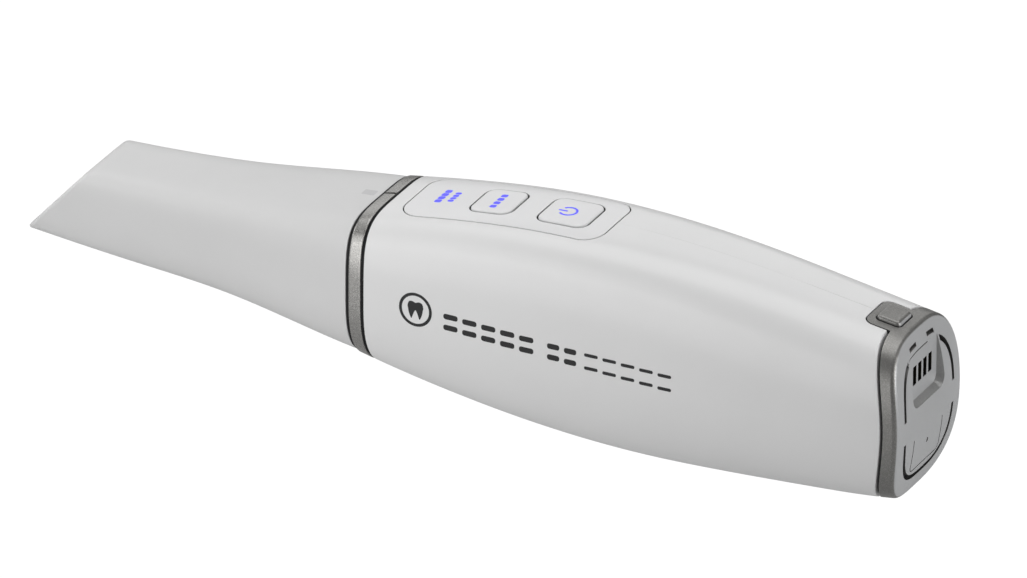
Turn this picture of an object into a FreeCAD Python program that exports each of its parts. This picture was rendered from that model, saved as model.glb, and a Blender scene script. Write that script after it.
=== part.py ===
"""Handheld wireless intraoral scanner: slide-off tip, two-shell housing and slide-out battery.

Millimetres.  The origin is the tip seat: the centre of the collar ring's front face.
-X runs to the tip, +X to the battery end, +Z is the keypad side, and -Y is the right shell.
"""
import FreeCAD, Part
import math
import os

V = FreeCAD.Vector

# ---------------------------------------------------------------- driving dimensions
# One row per station along X: x, half width, top, bottom, height of the widest point,
# and the roundness exponents of the upper and the lower half (2 is an ellipse).
BODY_STATIONS = (
    (-2.0, 18.3, 18.6, -18.4, 0.5, 4.4, 2.7),
    (4.0, 18.4, 19.8, -20.0, 0.0, 4.3, 2.7),
    (22.0, 18.7, 22.6, -24.2, -0.8, 4.3, 2.6),
    (45.0, 19.0, 24.8, -28.2, -2.0, 4.3, 2.4),
    (70.0, 18.8, 24.8, -30.2, -2.8, 4.1, 2.3),
    (95.0, 18.4, 22.6, -29.4, -3.6, 3.8, 2.4),
    (118.0, 17.9, 19.2, -27.5, -4.2, 3.5, 2.7),
    (132.0, 17.6, 17.0, -25.9, -4.2, 3.3, 3.0),
    (143.0, 17.1, 15.2, -24.0, -4.2, 3.2, 3.2),
)
TIP_STATIONS = (
    (2.0, 18.4, 18.8, -18.9, 0.4, 4.5, 2.7),
    (-15.0, 16.8, 17.4, -15.6, 1.2, 4.3, 2.9),
    (-35.0, 14.4, 15.3, -12.2, 1.8, 4.3, 3.0),
    (-55.0, 12.7, 14.1, -10.2, 2.4, 4.5, 3.4),
    (-72.0, 12.0, 13.7, -8.2, 3.0, 4.5, 4.2),
    (-93.0, 11.4, 13.5, -5.8, 3.8, 4.5, 4.6),
)
RING_POINTS = 32          # points on each station's outline

WALL = 2.0                # body shell
TIP_WALL = 1.6

COLLAR_LENGTH = 4.0
GASKET = 0.8              # black gap behind the collar
FRONT_GASKET = 0.55       # black gap between tip and collar
SHELL_FRONT = COLLAR_LENGTH + GASKET

# The battery end is cut by concentric cylinders that lie along Y.
REAR_X = 141.3
DOME_R = 64.0
DOME_Z = -4.5
DOME_X = REAR_X - DOME_R
SHELL_EDGE_R = 60.0
CAP_EDGE_R = 60.45
FRAME_FRONT_R = 59.4
CAP_SKIN = 1.8
CAP_WALL = 2.5
RIM_RADIUS = 1.4

# Tip end: a flat slanted face, leaning forward towards the underside.
FACE_TOP = (-73.1, 11.4)           # x, z of a point on the slanted face
FACE_ANGLE = 47.8                  # degrees up from the X axis, going back
TIP_EDGE_RADIUS = 1.1
WINDOW_X = (-85.0, -68.0)
WINDOW_HALF_Y = 8.6
MIRROR = (17.4, 16.4, 1.1)         # length up the slope, width, thickness
HEATER_FOIL = 0.25

# Nose and optics
NOSE_X = (-34.0, -0.5)
NOSE_HALF_Y = 10.4
NOSE_Z = (-8.4, 11.9)
NOSE_WALL = 1.5
NOSE_RADIUS = 3.5
SPIGOT_X = -8.0
SPIGOT_GAP = 0.3
PLATE_REAR = 5.5
BARREL_R = 3.9
BARREL_X = (-30.0, -2.2)
PROJECTOR_Z = 6.0
CAMERA_Y = 4.6
CAMERA_Z = -2.6
LENS_R = 3.1
LENS_FIT = 0.02                     # radial gap of a lens in its barrel
FRONT_LENS = (-27.8, 1.75, 0.8)     # x of the curved face's rim, thickness, bulge
REAR_LENS = (-5.2, 1.5, 0.6)

# Keypad
PANEL_X = (9.5, 61.0)
PANEL_HALF_Y = 10.7
PANEL_RADIUS = 5.0
PANEL_THICKNESS = 1.4
PANEL_GAP = 0.15
MODE_X = (25.5, 36.0)
MODE_HALF_Y = 6.2
POWER_X = (43.0, 55.5)
POWER_HALF_Y = 6.4
BUTTON_RADIUS = 2.6
BUTTON_GAP = 0.15
BUTTON_PROUD = 0.25
BUTTON_DEPTH = 2.6
SWITCH_TOP = 19.8
SWITCH_GAP = 0.7
KEY_BOARD_Z = (16.6, 17.6)
LENS_BAR_X = ((15.2, 17.3), (18.3, 20.1))
LENS_BAR_HALF_Y = (3.9, 2.9)

# Tray that carries the cooling parts above it and the main board below it
TRAY_TOP = -10.2
TRAY_Z = (-11.7, TRAY_TOP)
TRAY_HALF_Y = 13.0
TRAY_END = 62.4

# Cooling fan and heat sink
SINK_X = (11.2, 21.5)
SINK_TOP = 13.0
FAN_X = (23.0, 30.0)
FAN_HALF = 11.0
FAN_Z = TRAY_TOP + FAN_HALF
FAN_HOLE_R = 10.0
BLADE_TIP_R = 9.4
BLADES = 7
HUB_R = 3.6
SHAFT_R = 1.0
SHAFT_GAP = 0.04

# Main board
BOARD_Z = (-15.2, -14.0)
BOARD_X = (10.0, 58.0)
BOARD_HALF_Y = 10.5

# Battery pack
CELL_R = 9.2
CELL_X = (67.5, 132.5)
CELL_Z = -6.3
CASE_X = 66.0
CASE_HALF_Y = 11.2
CASE_Z = (-17.0, 8.0)
CASE_WALL = 1.2
CASE_RADIUS = 5.0
BAY_X = (62.5, 121.5)
BAY_GAP = 0.5
BAY_WALL = 1.4
PIN_Y = (-4.5, -1.5, 1.5, 4.5)
PIN_Z = -2.0
PIN_R = 0.7

# Release latch on the end cap's tab
TAB_X = 127.2
TAB_HALF_Y = 5.9
TAB_RADIUS = 2.0
TAB_DEPTH = 2.2
RELEASE_X = (129.0, 135.0)
RELEASE_HALF_Y = 3.5
RELEASE_PROUD = 1.0
RELEASE_GAP = 0.15
LEVER_Z = (11.0, 12.2)
CATCH_BOTTOM = 13.05
CATCH_X = (126.4, 127.6)
CATCH_Y = (6.6, 9.2)

# Charging recess in the rear face
RECESS_FLOOR_X = REAR_X - 2.0
RECESS_HALF_Y = 8.4
RECESS_Z = (-1.6, 16.0)
RECESS_DRAFT = 0.9
RECESS_RADIUS = 2.8
FLOOR_THICKNESS = 1.2
CONTACT_PITCH = 2.7
CONTACT_SLOT = (1.8, 4.8)          # width, height
CONTACT_Z = 5.4
CONTACT_SET_BACK = 1.05   # from the recess floor to the contacts
NEAR_REAR = (125.0, 146.0)          # every cut in the rear face lies in this length
SLOT_INSETS = (4.0, 5.1)  # long slots, from the outline of the rear face
SMALL_SLOT_INSETS = (2.5, 3.5)
ARCH_INSETS = (4.4, 4.75)
LINE_DEPTH = 0.35


# ---------------------------------------------------------------- helpers
def brick(x, y, z, radius=0.0, along="X"):
    """A box from (low, high) pairs, with rounded edges along one axis."""
    box = Part.makeBox(x[1] - x[0], y[1] - y[0], z[1] - z[0], V(x[0], y[0], z[0]))
    if radius == 0:
        return box
    direction = {"X": V(1, 0, 0), "Y": V(0, 1, 0), "Z": V(0, 0, 1)}[along]
    edges = [e for e in box.Edges if abs(e.tangentAt(e.FirstParameter).dot(direction)) > 0.99]
    return box.makeFillet(radius, edges)


def sym(half):
    return (-half, half)


def rod(x, y, z, radius, inner=0.0):
    """A cylinder, or a tube, along X."""
    solid = Part.makeCylinder(radius, x[1] - x[0], V(x[0], y, z), V(1, 0, 0))
    if inner > 0:
        solid = solid.cut(Part.makeCylinder(inner, x[1] - x[0], V(x[0], y, z), V(1, 0, 0)))
    return solid


def post(x, y, z, radius):
    """A cylinder along Z between two heights."""
    return Part.makeCylinder(radius, z[1] - z[0], V(x, y, z[0]), V(0, 0, 1))


def dome(radius):
    """Everything in front of a domed surface: a cylinder along Y and all that lies ahead of it."""
    bulge = Part.makeCylinder(radius, 80, V(DOME_X, -40, DOME_Z), V(0, 1, 0))
    ahead = brick((-100, DOME_X), sym(40), (DOME_Z - radius, DOME_Z + radius))
    return ahead.fuse(bulge)


def outline(station, inset):
    """Closed outline of one station: two half superellipses that share the widest point."""
    x, half_width, top, bottom, widest, n_top, n_bottom = station
    points = []
    for k in range(RING_POINTS):
        angle = 2 * math.pi * (k + 0.5) / RING_POINTS
        c = math.cos(angle)
        s = math.sin(angle)
        n = n_top if s > 0 else n_bottom
        reach = top - widest if s > 0 else widest - bottom
        r = (abs(c) ** n + abs(s) ** n) ** (-1 / n)
        points.append(V(x, (half_width - inset) * r * c, widest + (reach - inset) * r * s))
    curve = Part.BSplineCurve()
    curve.interpolate(Points=points, PeriodicFlag=True)
    return Part.Wire([curve.toShape()])


def form(stations, inset=0.0):
    """The solid inside a row of stations, moved inwards by inset."""
    return Part.makeLoft([outline(s, inset) for s in stations], True, False)


def body(inset=0.0):
    key = round(inset, 3)
    if key not in body_cache:
        body_cache[key] = form(BODY_STATIONS, inset)
    return body_cache[key]


def tip_form(inset=0.0):
    return form(TIP_STATIONS, inset)


body_cache = {}
BIG = 60.0


def slab(x0, x1):
    """Everything between two X planes."""
    return brick((x0, x1), sym(BIG), sym(BIG))


def face_cutter(depth):
    """Everything in front of the slanted tip face, moved inwards by depth."""
    box = Part.makeBox(80, 2 * BIG, 160, V(-80, -BIG, -80))
    box.rotate(V(0, 0, 0), V(0, 1, 0), 90 - FACE_ANGLE)
    inward = V(math.sin(math.radians(FACE_ANGLE)), 0, -math.cos(math.radians(FACE_ANGLE)))
    box.translate(V(FACE_TOP[0], 0, FACE_TOP[1]) + inward * depth)
    return box


def on_slope(up, width, thickness, depth):
    """A plate parallel to the slanted face, depth inside it."""
    plate = Part.makeBox(thickness, width, up, V(depth, -width / 2, -up / 2))
    plate.rotate(V(0, 0, 0), V(0, 1, 0), 90 - FACE_ANGLE)
    middle = V(FACE_TOP[0] - 6.3, 0, FACE_TOP[1] - 6.3 * math.tan(math.radians(FACE_ANGLE)))
    plate.translate(middle)
    return plate


# ---------------------------------------------------------------- tip
def tip_shell():
    outer = tip_form().common(slab(-100, -FRONT_GASKET - 0.05)).cut(face_cutter(0))
    edges = [e for e in outer.Edges if on_face(e)]
    outer = outer.makeFillet(TIP_EDGE_RADIUS, edges)
    hollow = tip_form(TIP_WALL).cut(face_cutter(TIP_WALL))
    window = brick(WINDOW_X, sym(WINDOW_HALF_Y), (-20, 0), 2.0, "Z").cut(face_cutter(TIP_WALL))
    return outer.cut(hollow).cut(window)


def on_face(edge):
    """True for an edge that lies in the slanted face."""
    slope = math.tan(math.radians(FACE_ANGLE))
    for vertex in edge.discretize(5):
        if abs(vertex.z - FACE_TOP[1] - (vertex.x - FACE_TOP[0]) * slope) > 0.05:
            return False
    return True


def tip_mirror():
    return on_slope(MIRROR[0], MIRROR[1], MIRROR[2], TIP_WALL + HEATER_FOIL + 0.05)


def mirror_heater():
    return on_slope(MIRROR[0] - 1, MIRROR[1] - 1, HEATER_FOIL, TIP_WALL)


def heater_flex():
    skin = tip_form(TIP_WALL + 0.05).cut(tip_form(TIP_WALL + 0.3))
    strip = skin.common(brick((-66.5, -9.5), sym(2.5), (5, 25)))
    return strip


def tip_contact_pads():
    skin = tip_form(TIP_WALL + 0.3).cut(tip_form(TIP_WALL + 0.45))
    pads = [skin.common(brick((-14, -10), (y - 0.7, y + 0.7), (5, 25))) for y in (-1.4, 1.4)]
    return Part.makeCompound(pads)


# ---------------------------------------------------------------- collar and nose
def collar_ring():
    return body(-0.12).cut(body(2.5)).common(slab(0, COLLAR_LENGTH))


def collar_front_gasket():
    inner = TIP_WALL + SPIGOT_GAP - 0.05
    return tip_form(0.35).cut(tip_form(inner)).common(slab(-FRONT_GASKET, 0))


def collar_rear_gasket():
    return body(0.3).cut(body(2.5)).common(slab(COLLAR_LENGTH, SHELL_FRONT))


def nose_bore(x, gap):
    """What fits inside the nose between two X planes, with a gap all round."""
    z = (NOSE_Z[0] + NOSE_WALL + gap, NOSE_Z[1] - NOSE_WALL - gap)
    return brick(x, sym(NOSE_HALF_Y - NOSE_WALL - gap), z, NOSE_RADIUS - NOSE_WALL)


def nose_barrel():
    plate = body(2.6).common(slab(0, PLATE_REAR))
    spigot = tip_form(TIP_WALL + SPIGOT_GAP).common(slab(SPIGOT_X, 0))
    snout = brick((NOSE_X[0], PLATE_REAR), sym(NOSE_HALF_Y), NOSE_Z, NOSE_RADIUS)
    bore = nose_bore((NOSE_X[0] - 1, PLATE_REAR + 1), 0.0)
    groove = tip_form(TIP_WALL).cut(tip_form(TIP_WALL + SPIGOT_GAP + 0.8)).common(slab(-5.0, -3.6))
    solid = plate.fuse(spigot).fuse(snout).cut(bore).cut(groove)
    contact_slot = brick((-16, -9.5), sym(2.4), (10, 11.9 + 5))
    return solid.cut(contact_slot)


def tip_seal_ring():
    ring = tip_form(TIP_WALL + 0.06).cut(tip_form(TIP_WALL + SPIGOT_GAP + 0.75))
    return ring.common(slab(-4.9, -3.7))


def nose_contact_pins():
    pins = []
    for y in (-1.4, 1.4):
        foot = brick((-15.5, -10.5), (y - 0.5, y + 0.5), (10.6, 11.0))
        head = brick((-13.2, -11.4), (y - 0.5, y + 0.5), (11.0, 14.6))
        pins.append(foot.fuse(head))
    return Part.makeCompound(pins)


def nose_window():
    return nose_bore((NOSE_X[0] + 0.3, NOSE_X[0] + 1.5), 0.05)


# ---------------------------------------------------------------- optics
def camera_places():
    return ((-CAMERA_Y, CAMERA_Z), (CAMERA_Y, CAMERA_Z))


def optical_chassis():
    block = nose_bore((-27, -4), 0.1)
    for y, height in camera_places() + ((0, PROJECTOR_Z),):
        block = block.cut(rod((-28, -3), y, height, BARREL_R))
    return block


def lens_barrel(y, z):
    """A tube with a stop at each end of its two lens seats."""
    tube = rod(BARREL_X, y, z, BARREL_R)
    for x in ((BARREL_X[0], -26), (-25, -8), (-7, BARREL_X[1])):
        tube = tube.cut(rod(x, y, z, LENS_R))
    for x in ((-26, -25), (-8, -7)):
        tube = tube.cut(rod(x, y, z, LENS_R - 0.7))
    return tube


def lens(x, thickness, bulge, y, z, radius):
    """A plano-convex lens whose bulge faces the tip."""
    sphere_r = (radius ** 2 + bulge ** 2) / (2 * bulge)
    disc = rod((x - bulge, x + thickness), y, z, radius)
    return disc.common(Part.makeSphere(sphere_r, V(x - bulge + sphere_r, y, z)))


def camera_barrels():
    return Part.makeCompound([lens_barrel(y, z) for y, z in camera_places()])


def camera_front_lenses():
    return Part.makeCompound([lens(*FRONT_LENS, y, z, LENS_R - LENS_FIT) for y, z in camera_places()])


def camera_rear_lenses():
    return Part.makeCompound([lens(*REAR_LENS, y, z, LENS_R - LENS_FIT) for y, z in camera_places()])


def camera_sensors():
    sensors = []
    for y, z in camera_places():
        sensors.append(brick((-2.1, -1.5), (y - 2.5, y + 2.5), (z - 2, z + 2)))
    return Part.makeCompound(sensors)


def camera_board():
    return brick((-1.5, -0.5), sym(8.4), (-6.4, 0.2), 0.8)


def projector_barrel():
    return lens_barrel(0, PROJECTOR_Z)


def projector_lenses():
    pair = (FRONT_LENS, REAR_LENS)
    return Part.makeCompound([lens(*kind, 0, PROJECTOR_Z, LENS_R - LENS_FIT) for kind in pair])


def light_engine_housing():
    return rod((-1.6, 9.5), 0, PROJECTOR_Z, 4.3, 3.7)


def pattern_slide():
    return rod((-1.0, -0.2), 0, PROJECTOR_Z, 3.65)


def condenser_lens():
    return lens(3.0, 1.5, 1.3, 0, PROJECTOR_Z, 3.65)


def projector_led():
    chip = brick((8.4, 9.5), sym(1.7), (PROJECTOR_Z - 1.7, PROJECTOR_Z + 1.7))
    cap = Part.makeSphere(1.4, V(8.4, 0, PROJECTOR_Z)).common(slab(6, 8.4))
    return chip.fuse(cap)


def projector_led_board():
    return brick((9.5, 11.1), sym(6.5), (PROJECTOR_Z - 6, PROJECTOR_Z + 6.2), 1.0)


def heat_sink():
    base = brick((SINK_X[0], SINK_X[0] + 2), sym(11), (TRAY_TOP, SINK_TOP))
    for k in range(8):
        y = -11 + k * (22 - 1.0) / 7
        base = base.fuse(brick((SINK_X[0] + 1, SINK_X[1]), (y, y + 1.0), (TRAY_TOP, SINK_TOP)))
    return base


# ---------------------------------------------------------------- fan
def fan_frame():
    frame = brick(FAN_X, sym(FAN_HALF), (FAN_Z - FAN_HALF, FAN_Z + FAN_HALF), 1.5)
    frame = frame.cut(rod((FAN_X[0] - 1, FAN_X[1] + 1), 0, FAN_Z, FAN_HOLE_R))
    spoke_x = (FAN_X[1] - 0.8, FAN_X[1])
    frame = frame.fuse(brick(spoke_x, sym(FAN_HOLE_R + 0.5), (FAN_Z - 0.6, FAN_Z + 0.6)))
    frame = frame.fuse(brick(spoke_x, sym(0.6), (FAN_Z - FAN_HOLE_R - 0.5, FAN_Z + FAN_HOLE_R + 0.5)))
    frame = frame.fuse(rod(spoke_x, 0, FAN_Z, HUB_R))
    frame = frame.fuse(rod((FAN_X[0] + 2, FAN_X[1]), 0, FAN_Z, SHAFT_R))
    for y, z in corners(FAN_HALF - 1.6):
        frame = frame.cut(rod((FAN_X[0] - 1, FAN_X[1] + 1), y, FAN_Z + z, 0.75))
    return frame


def corners(half):
    return ((-half, -half), (-half, half), (half, -half), (half, half))


def fan_screws():
    screws = []
    for y, z in corners(FAN_HALF - 1.6):
        shank = rod((FAN_X[0] - 0.6, FAN_X[1] + 0.1), y, FAN_Z + z, 0.7)
        screws.append(shank.fuse(rod((FAN_X[1] + 0.05, FAN_X[1] + 0.9), y, FAN_Z + z, 1.3)))
    return Part.makeCompound(screws)


def fan_rotor():
    hub = rod((FAN_X[0] + 1, FAN_X[1] - 1.1), 0, FAN_Z, HUB_R)
    for k in range(BLADES):
        blade = Part.makeBox(4.6, 0.6, BLADE_TIP_R - HUB_R + 0.4, V(-2.3, -0.3, HUB_R - 0.4))
        blade.rotate(V(0, 0, 0), V(0, 0, 1), 35)
        blade.rotate(V(0, 0, 0), V(1, 0, 0), 360 * k / BLADES)
        blade.translate(V(FAN_X[0] + 3.4, 0, FAN_Z))
        hub = hub.fuse(blade)
    bore = rod((FAN_X[0] + 1.8, FAN_X[1]), 0, FAN_Z, SHAFT_R + SHAFT_GAP)
    return hub.cut(bore)


# ---------------------------------------------------------------- inner frame and boards
def inner_frame():
    tray = brick((PLATE_REAR, TRAY_END), sym(TRAY_HALF_Y), TRAY_Z)
    for side in (-1, 1):
        rail_y = sorted((side * TRAY_HALF_Y, side * (TRAY_HALF_Y - 1.2)))
        tray = tray.fuse(brick((PLATE_REAR, TRAY_END), rail_y, (TRAY_Z[0], -5.0)))
    for x in (20.0, 36.0, 50.0):
        tray = tray.cut(brick((x - 5, x + 5), sym(6), (-20, 0), 2.0, "Z"))
    for x, y in board_holes():
        tray = tray.fuse(post(x, y, (BOARD_Z[1], TRAY_Z[1]), 1.9))
        tray = tray.cut(post(x, y, (BOARD_Z[0] - 1, TRAY_Z[1] + 1), 0.8))
    return tray


def board_holes():
    return ((13.0, -8.2), (13.0, 8.2), (55.0, -8.2), (55.0, 8.2))


def main_board():
    board = brick(BOARD_X, sym(BOARD_HALF_Y), BOARD_Z, 1.5, "Z")
    for x, y in board_holes():
        board = board.cut(post(x, y, (BOARD_Z[0] - 1, BOARD_Z[1] + 1), 0.8))
    return board


def board_screws():
    screws = []
    for x, y in board_holes():
        shank = post(x, y, (BOARD_Z[0] - 0.1, TRAY_Z[1] - 0.5), 0.75)
        screws.append(shank.fuse(post(x, y, (BOARD_Z[0] - 0.9, BOARD_Z[0]), 1.4)))
    return Part.makeCompound(screws)


def processor_shield():
    can = brick((18, 38), sym(7.5), (BOARD_Z[0] - 2.2, BOARD_Z[0]), 1.0, "Z")
    return can.cut(brick((18.3, 37.7), sym(7.2), (BOARD_Z[0] - 1.9, BOARD_Z[0] + 1)))


def wireless_module():
    return brick((41, 51), (-7.5, 5.5), (BOARD_Z[0] - 1.8, BOARD_Z[0]), 0.6, "Z")


def antenna_strip():
    skin = body(WALL + 0.05).cut(body(WALL + 0.35))
    return skin.common(brick((34, 56), (0, 30), (-4, 5)))


def board_connectors():
    sides = [brick((16 + 14 * k, 24 + 14 * k), (8.0, 10.3), (BOARD_Z[1], BOARD_Z[1] + 1.6)) for k in range(2)]
    return Part.makeCompound(sides)


# ---------------------------------------------------------------- body shells
def panel_prism(grow):
    x = (PANEL_X[0] - grow, PANEL_X[1] + grow)
    return brick(x, sym(PANEL_HALF_Y + grow), (5, 40), PANEL_RADIUS + grow, "Z")


def tab_prism(grow):
    """The end cap's tab from above; it runs on into the rear band."""
    return brick((TAB_X - grow, 150), sym(TAB_HALF_Y + grow), (5, 40), TAB_RADIUS + grow, "Z")


def shell_pair():
    shell = body().cut(body(WALL)).common(slab(SHELL_FRONT, 150)).common(dome(SHELL_EDGE_R))
    pocket = panel_prism(PANEL_GAP).cut(body(PANEL_THICKNESS + 0.05))
    window = panel_prism(-1.8)
    shell = shell.cut(pocket).cut(window).cut(tab_prism(0.3))
    for side in (-1, 1):
        y = sorted((side * CATCH_Y[0], side * CATCH_Y[1]))
        catch = brick(CATCH_X, y, (CATCH_BOTTOM, 20)).common(body(WALL - 0.5))
        shell = shell.fuse(catch)
    return shell


def body_shell_left(shell):
    return shell.common(brick((-10, 160), (0, BIG), sym(BIG)))


def body_shell_right(shell):
    return shell.common(brick((-10, 160), (-BIG, 0), sym(BIG)))


# ---------------------------------------------------------------- keypad
def button_prism(x, half_y, grow=0.0):
    return brick((x[0] - grow, x[1] + grow), sym(half_y + grow), (5, 40), BUTTON_RADIUS + grow, "Z")


def lens_prism(k, grow=0.0):
    x = (LENS_BAR_X[k][0] - grow, LENS_BAR_X[k][1] + grow)
    return brick(x, sym(LENS_BAR_HALF_Y[k] + grow), (5, 40), 0.8 + grow, "Z")


def keypad_panel():
    panel = body().cut(body(PANEL_THICKNESS)).common(panel_prism(0))
    panel = panel.cut(button_prism(MODE_X, MODE_HALF_Y, BUTTON_GAP))
    panel = panel.cut(button_prism(POWER_X, POWER_HALF_Y, BUTTON_GAP))
    for k in range(2):
        panel = panel.cut(lens_prism(k))
    for x, y in panel_posts():
        leg = post(x, y, (KEY_BOARD_Z[1], 26), 1.3).common(body(PANEL_THICKNESS - 0.4))
        panel = panel.fuse(leg)
    return panel


def panel_posts():
    return ((13.5, -7.0), (13.5, 7.0), (39.5, -7.0), (39.5, 7.0), (57.8, -5.0), (57.8, 5.0))


def status_lenses():
    """Two clear bars set in the panel over the rows of status lights."""
    skin = body().cut(body(PANEL_THICKNESS))
    return Part.makeCompound([skin.common(lens_prism(k)) for k in range(2)])


def push_button(x, half_y):
    """A proud cap, a retaining flange under the panel and a stem above the switch."""
    cap = body(-BUTTON_PROUD).cut(body(BUTTON_DEPTH)).common(button_prism(x, half_y))
    flange = body(PANEL_THICKNESS + 0.2).cut(body(BUTTON_DEPTH)).common(button_prism(x, half_y, 0.9))
    middle = (x[0] + x[1]) / 2
    stem = post(middle, 0, (SWITCH_TOP + SWITCH_GAP, 30), 1.6).common(body(BUTTON_DEPTH - 0.3))
    return cap.fuse(flange).fuse(stem)


def tact_switches():
    switches = []
    for x in (MODE_X, POWER_X):
        middle = (x[0] + x[1]) / 2
        can = brick((middle - 2.5, middle + 2.5), sym(2.5), (KEY_BOARD_Z[1], SWITCH_TOP - 0.5), 0.4, "Z")
        switches.append(can.fuse(post(middle, 0, (SWITCH_TOP - 0.6, SWITCH_TOP), 1.2)))
    return Part.makeCompound(switches)


def keypad_board():
    return brick((12.0, 60.0), sym(9.0), KEY_BOARD_Z, 2.0, "Z")


def status_leds():
    z = (KEY_BOARD_Z[1], KEY_BOARD_Z[1] + 0.7)
    chips = []
    for x, y in ((16.2, -2.0), (16.2, 2.0), (19.2, 0.0)):
        chips.append(brick((x - 0.8, x + 0.8), (y - 0.8, y + 0.8), z))
    return Part.makeCompound(chips)


# ---------------------------------------------------------------- battery bay
def rounded_case(x0, x1, grow):
    z = (CASE_Z[0] - grow, CASE_Z[1] + grow)
    return brick((x0, x1), sym(CASE_HALF_Y + grow), z, CASE_RADIUS + grow)


def battery_bay():
    outer = rounded_case(BAY_X[0], BAY_X[1], BAY_GAP + BAY_WALL)
    hollow = rounded_case(BAY_X[0] + 1.5, BAY_X[1] + 1, BAY_GAP)
    bay = outer.cut(hollow)
    bay = bay.cut(brick((BAY_X[0] - 1, BAY_X[0] + 2), sym(6.6), (PIN_Z - 2.2, PIN_Z + 2.2)))
    return bay


def battery_contact_block():
    block = brick((57.5, BAY_X[0] - 0.05), sym(8.0), (PIN_Z - 3.5, PIN_Z + 3.5))
    return block.fuse(brick((60, BAY_X[0] + 1.4), sym(6.5), (PIN_Z - 2.1, PIN_Z + 2.1)))


def battery_spring_pins():
    tip = CASE_X - 0.35
    pins = []
    for y in PIN_Y:
        shaft = rod((BAY_X[0] + 1.4, tip - 0.4), y, PIN_Z, PIN_R)
        pins.append(shaft.fuse(rod((tip - 0.5, tip), y, PIN_Z, PIN_R - 0.25)))
    return Part.makeCompound(pins)


# ---------------------------------------------------------------- battery pack
def battery_case():
    case = rounded_case(CASE_X, 140, 0).common(dome(FRAME_FRONT_R - 0.05))
    hollow = rod((CASE_X + CASE_WALL, CELL_X[1] + 0.3), 0, CELL_Z, CELL_R + 0.3)
    room_z = (CELL_Z, CASE_Z[1] - CASE_WALL)
    room = brick((CASE_X + CASE_WALL, CELL_X[1] + 0.3), sym(CELL_R - 0.4), room_z, 1.5)
    return case.cut(hollow.fuse(room))


def battery_cell():
    cell = rod((CELL_X[0], CELL_X[1] - 0.6), 0, CELL_Z, CELL_R)
    edges = [e for e in cell.Edges if e.Length > 6 * CELL_R - 1 and e.Closed]
    cell = cell.makeFillet(0.6, edges)
    return cell.fuse(rod((CELL_X[1] - 0.7, CELL_X[1]), 0, CELL_Z, 3.0))


def protection_board():
    return brick((78, 128), sym(7.8), (4.0, 5.0), 1.0, "Z")


def pack_contact_pads():
    pads = [brick((CASE_X - 0.2, CASE_X), (y - 1.0, y + 1.0), (PIN_Z - 1.4, PIN_Z + 1.4)) for y in PIN_Y]
    return Part.makeCompound(pads)


def recess_cutter():
    """A drafted pocket with a flat floor; the dome falls away to meet the floor at the top."""
    def ring(x, grow):
        z = (RECESS_Z[0] - grow, RECESS_Z[1] + grow)
        plate = brick((x, x + 1), sym(RECESS_HALF_Y + grow), z, RECESS_RADIUS + grow)
        face = min(plate.Faces, key=lambda f: f.CenterOfMass.x)
        return face.OuterWire
    floor = ring(RECESS_FLOOR_X, -RECESS_DRAFT)
    mouth = ring(RECESS_FLOOR_X + 3, RECESS_DRAFT / 2)
    return Part.makeLoft([floor, mouth], True)


def contact_places():
    return [(k - 1.5) * CONTACT_PITCH for k in range(4)]


def face_track(insets, y, z):
    """Part of a band that follows the rear face's outline between two insets."""
    return body(insets[0]).cut(body(insets[1])).common(brick(NEAR_REAR, y, z))


def edge_slots():
    """Slots that follow the rear face's outline, just inside its rim."""
    cuts = []
    for side in (-1, 1):
        cuts.append(face_track(SLOT_INSETS, sorted((side * 8.2, side * 20)), (-2.6, 14)))
        cuts.append(face_track(SMALL_SLOT_INSETS, sorted((side * 2.8, side * 6.3)), (8, 16)))
    cuts.append(face_track(SLOT_INSETS, (-20, -8), (-19.2, -8.3)))
    cuts.append(face_track(SLOT_INSETS, (4, 20), (-30, -8.3)))
    cuts.append(face_track(SLOT_INSETS, (-9.5, 4.1), (-30, -17)))
    return cuts


def face_lines():
    """Fine engraved lines: one above the recess and the outline of a plain label field."""
    depth = dome(DOME_R + 1).cut(dome(DOME_R - LINE_DEPTH))
    arch = face_track(ARCH_INSETS, (-12, 2.5), (8.0, 14))
    field = brick(NEAR_REAR, sym(7.6), (-18.2, -2.0), 1.6)
    frame = field.cut(brick(NEAR_REAR, sym(7.3), (-17.9, -1.0), 1.3))
    open_frame = frame.common(brick(NEAR_REAR, sym(9.0), (-19.0, -9.4)))
    dimple = rod((REAR_X - 0.8, REAR_X + 2), 0, -12.4, 0.6)
    return [arch.common(depth), open_frame.common(depth), dimple]


def end_cap():
    skin = body().common(dome(DOME_R)).cut(dome(CAP_EDGE_R))
    skin = skin.makeFillet(RIM_RADIUS, rim_edges(skin))
    hollow = body(CAP_WALL).common(dome(DOME_R - CAP_SKIN))
    pad = body(CAP_WALL + 0.6).common(brick((RECESS_FLOOR_X - FLOOR_THICKNESS, 150), sym(10), (-3.6, 14)))
    cap = skin.cut(hollow.cut(pad))
    tab = body().cut(body(TAB_DEPTH)).common(tab_prism(0)).common(dome(CAP_EDGE_R + 0.3))
    cap = cap.fuse(tab).cut(recess_cutter())
    x = (RELEASE_X[0] - RELEASE_GAP, RELEASE_X[1] + RELEASE_GAP)
    cap = cap.cut(brick(x, sym(RELEASE_HALF_Y + RELEASE_GAP), (5, 30), 1.0 + RELEASE_GAP, "Z"))
    width, height = CONTACT_SLOT
    for y in contact_places():
        z = (CONTACT_Z - height / 2, CONTACT_Z + height / 2)
        cap = cap.cut(brick((130, 145), (y - width / 2, y + width / 2), z))
    for cutter in edge_slots() + face_lines():
        cap = cap.cut(cutter)
    return cap


def rim_edges(skin):
    """The edges where the rear dome meets the side of the cap."""
    found = []
    for edge in skin.Edges:
        on_rim = [abs(math.hypot(p.x - DOME_X, p.z - DOME_Z) - DOME_R) < 0.02 for p in edge.discretize(7)]
        if all(on_rim):
            found.append(edge)
    return found


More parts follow.
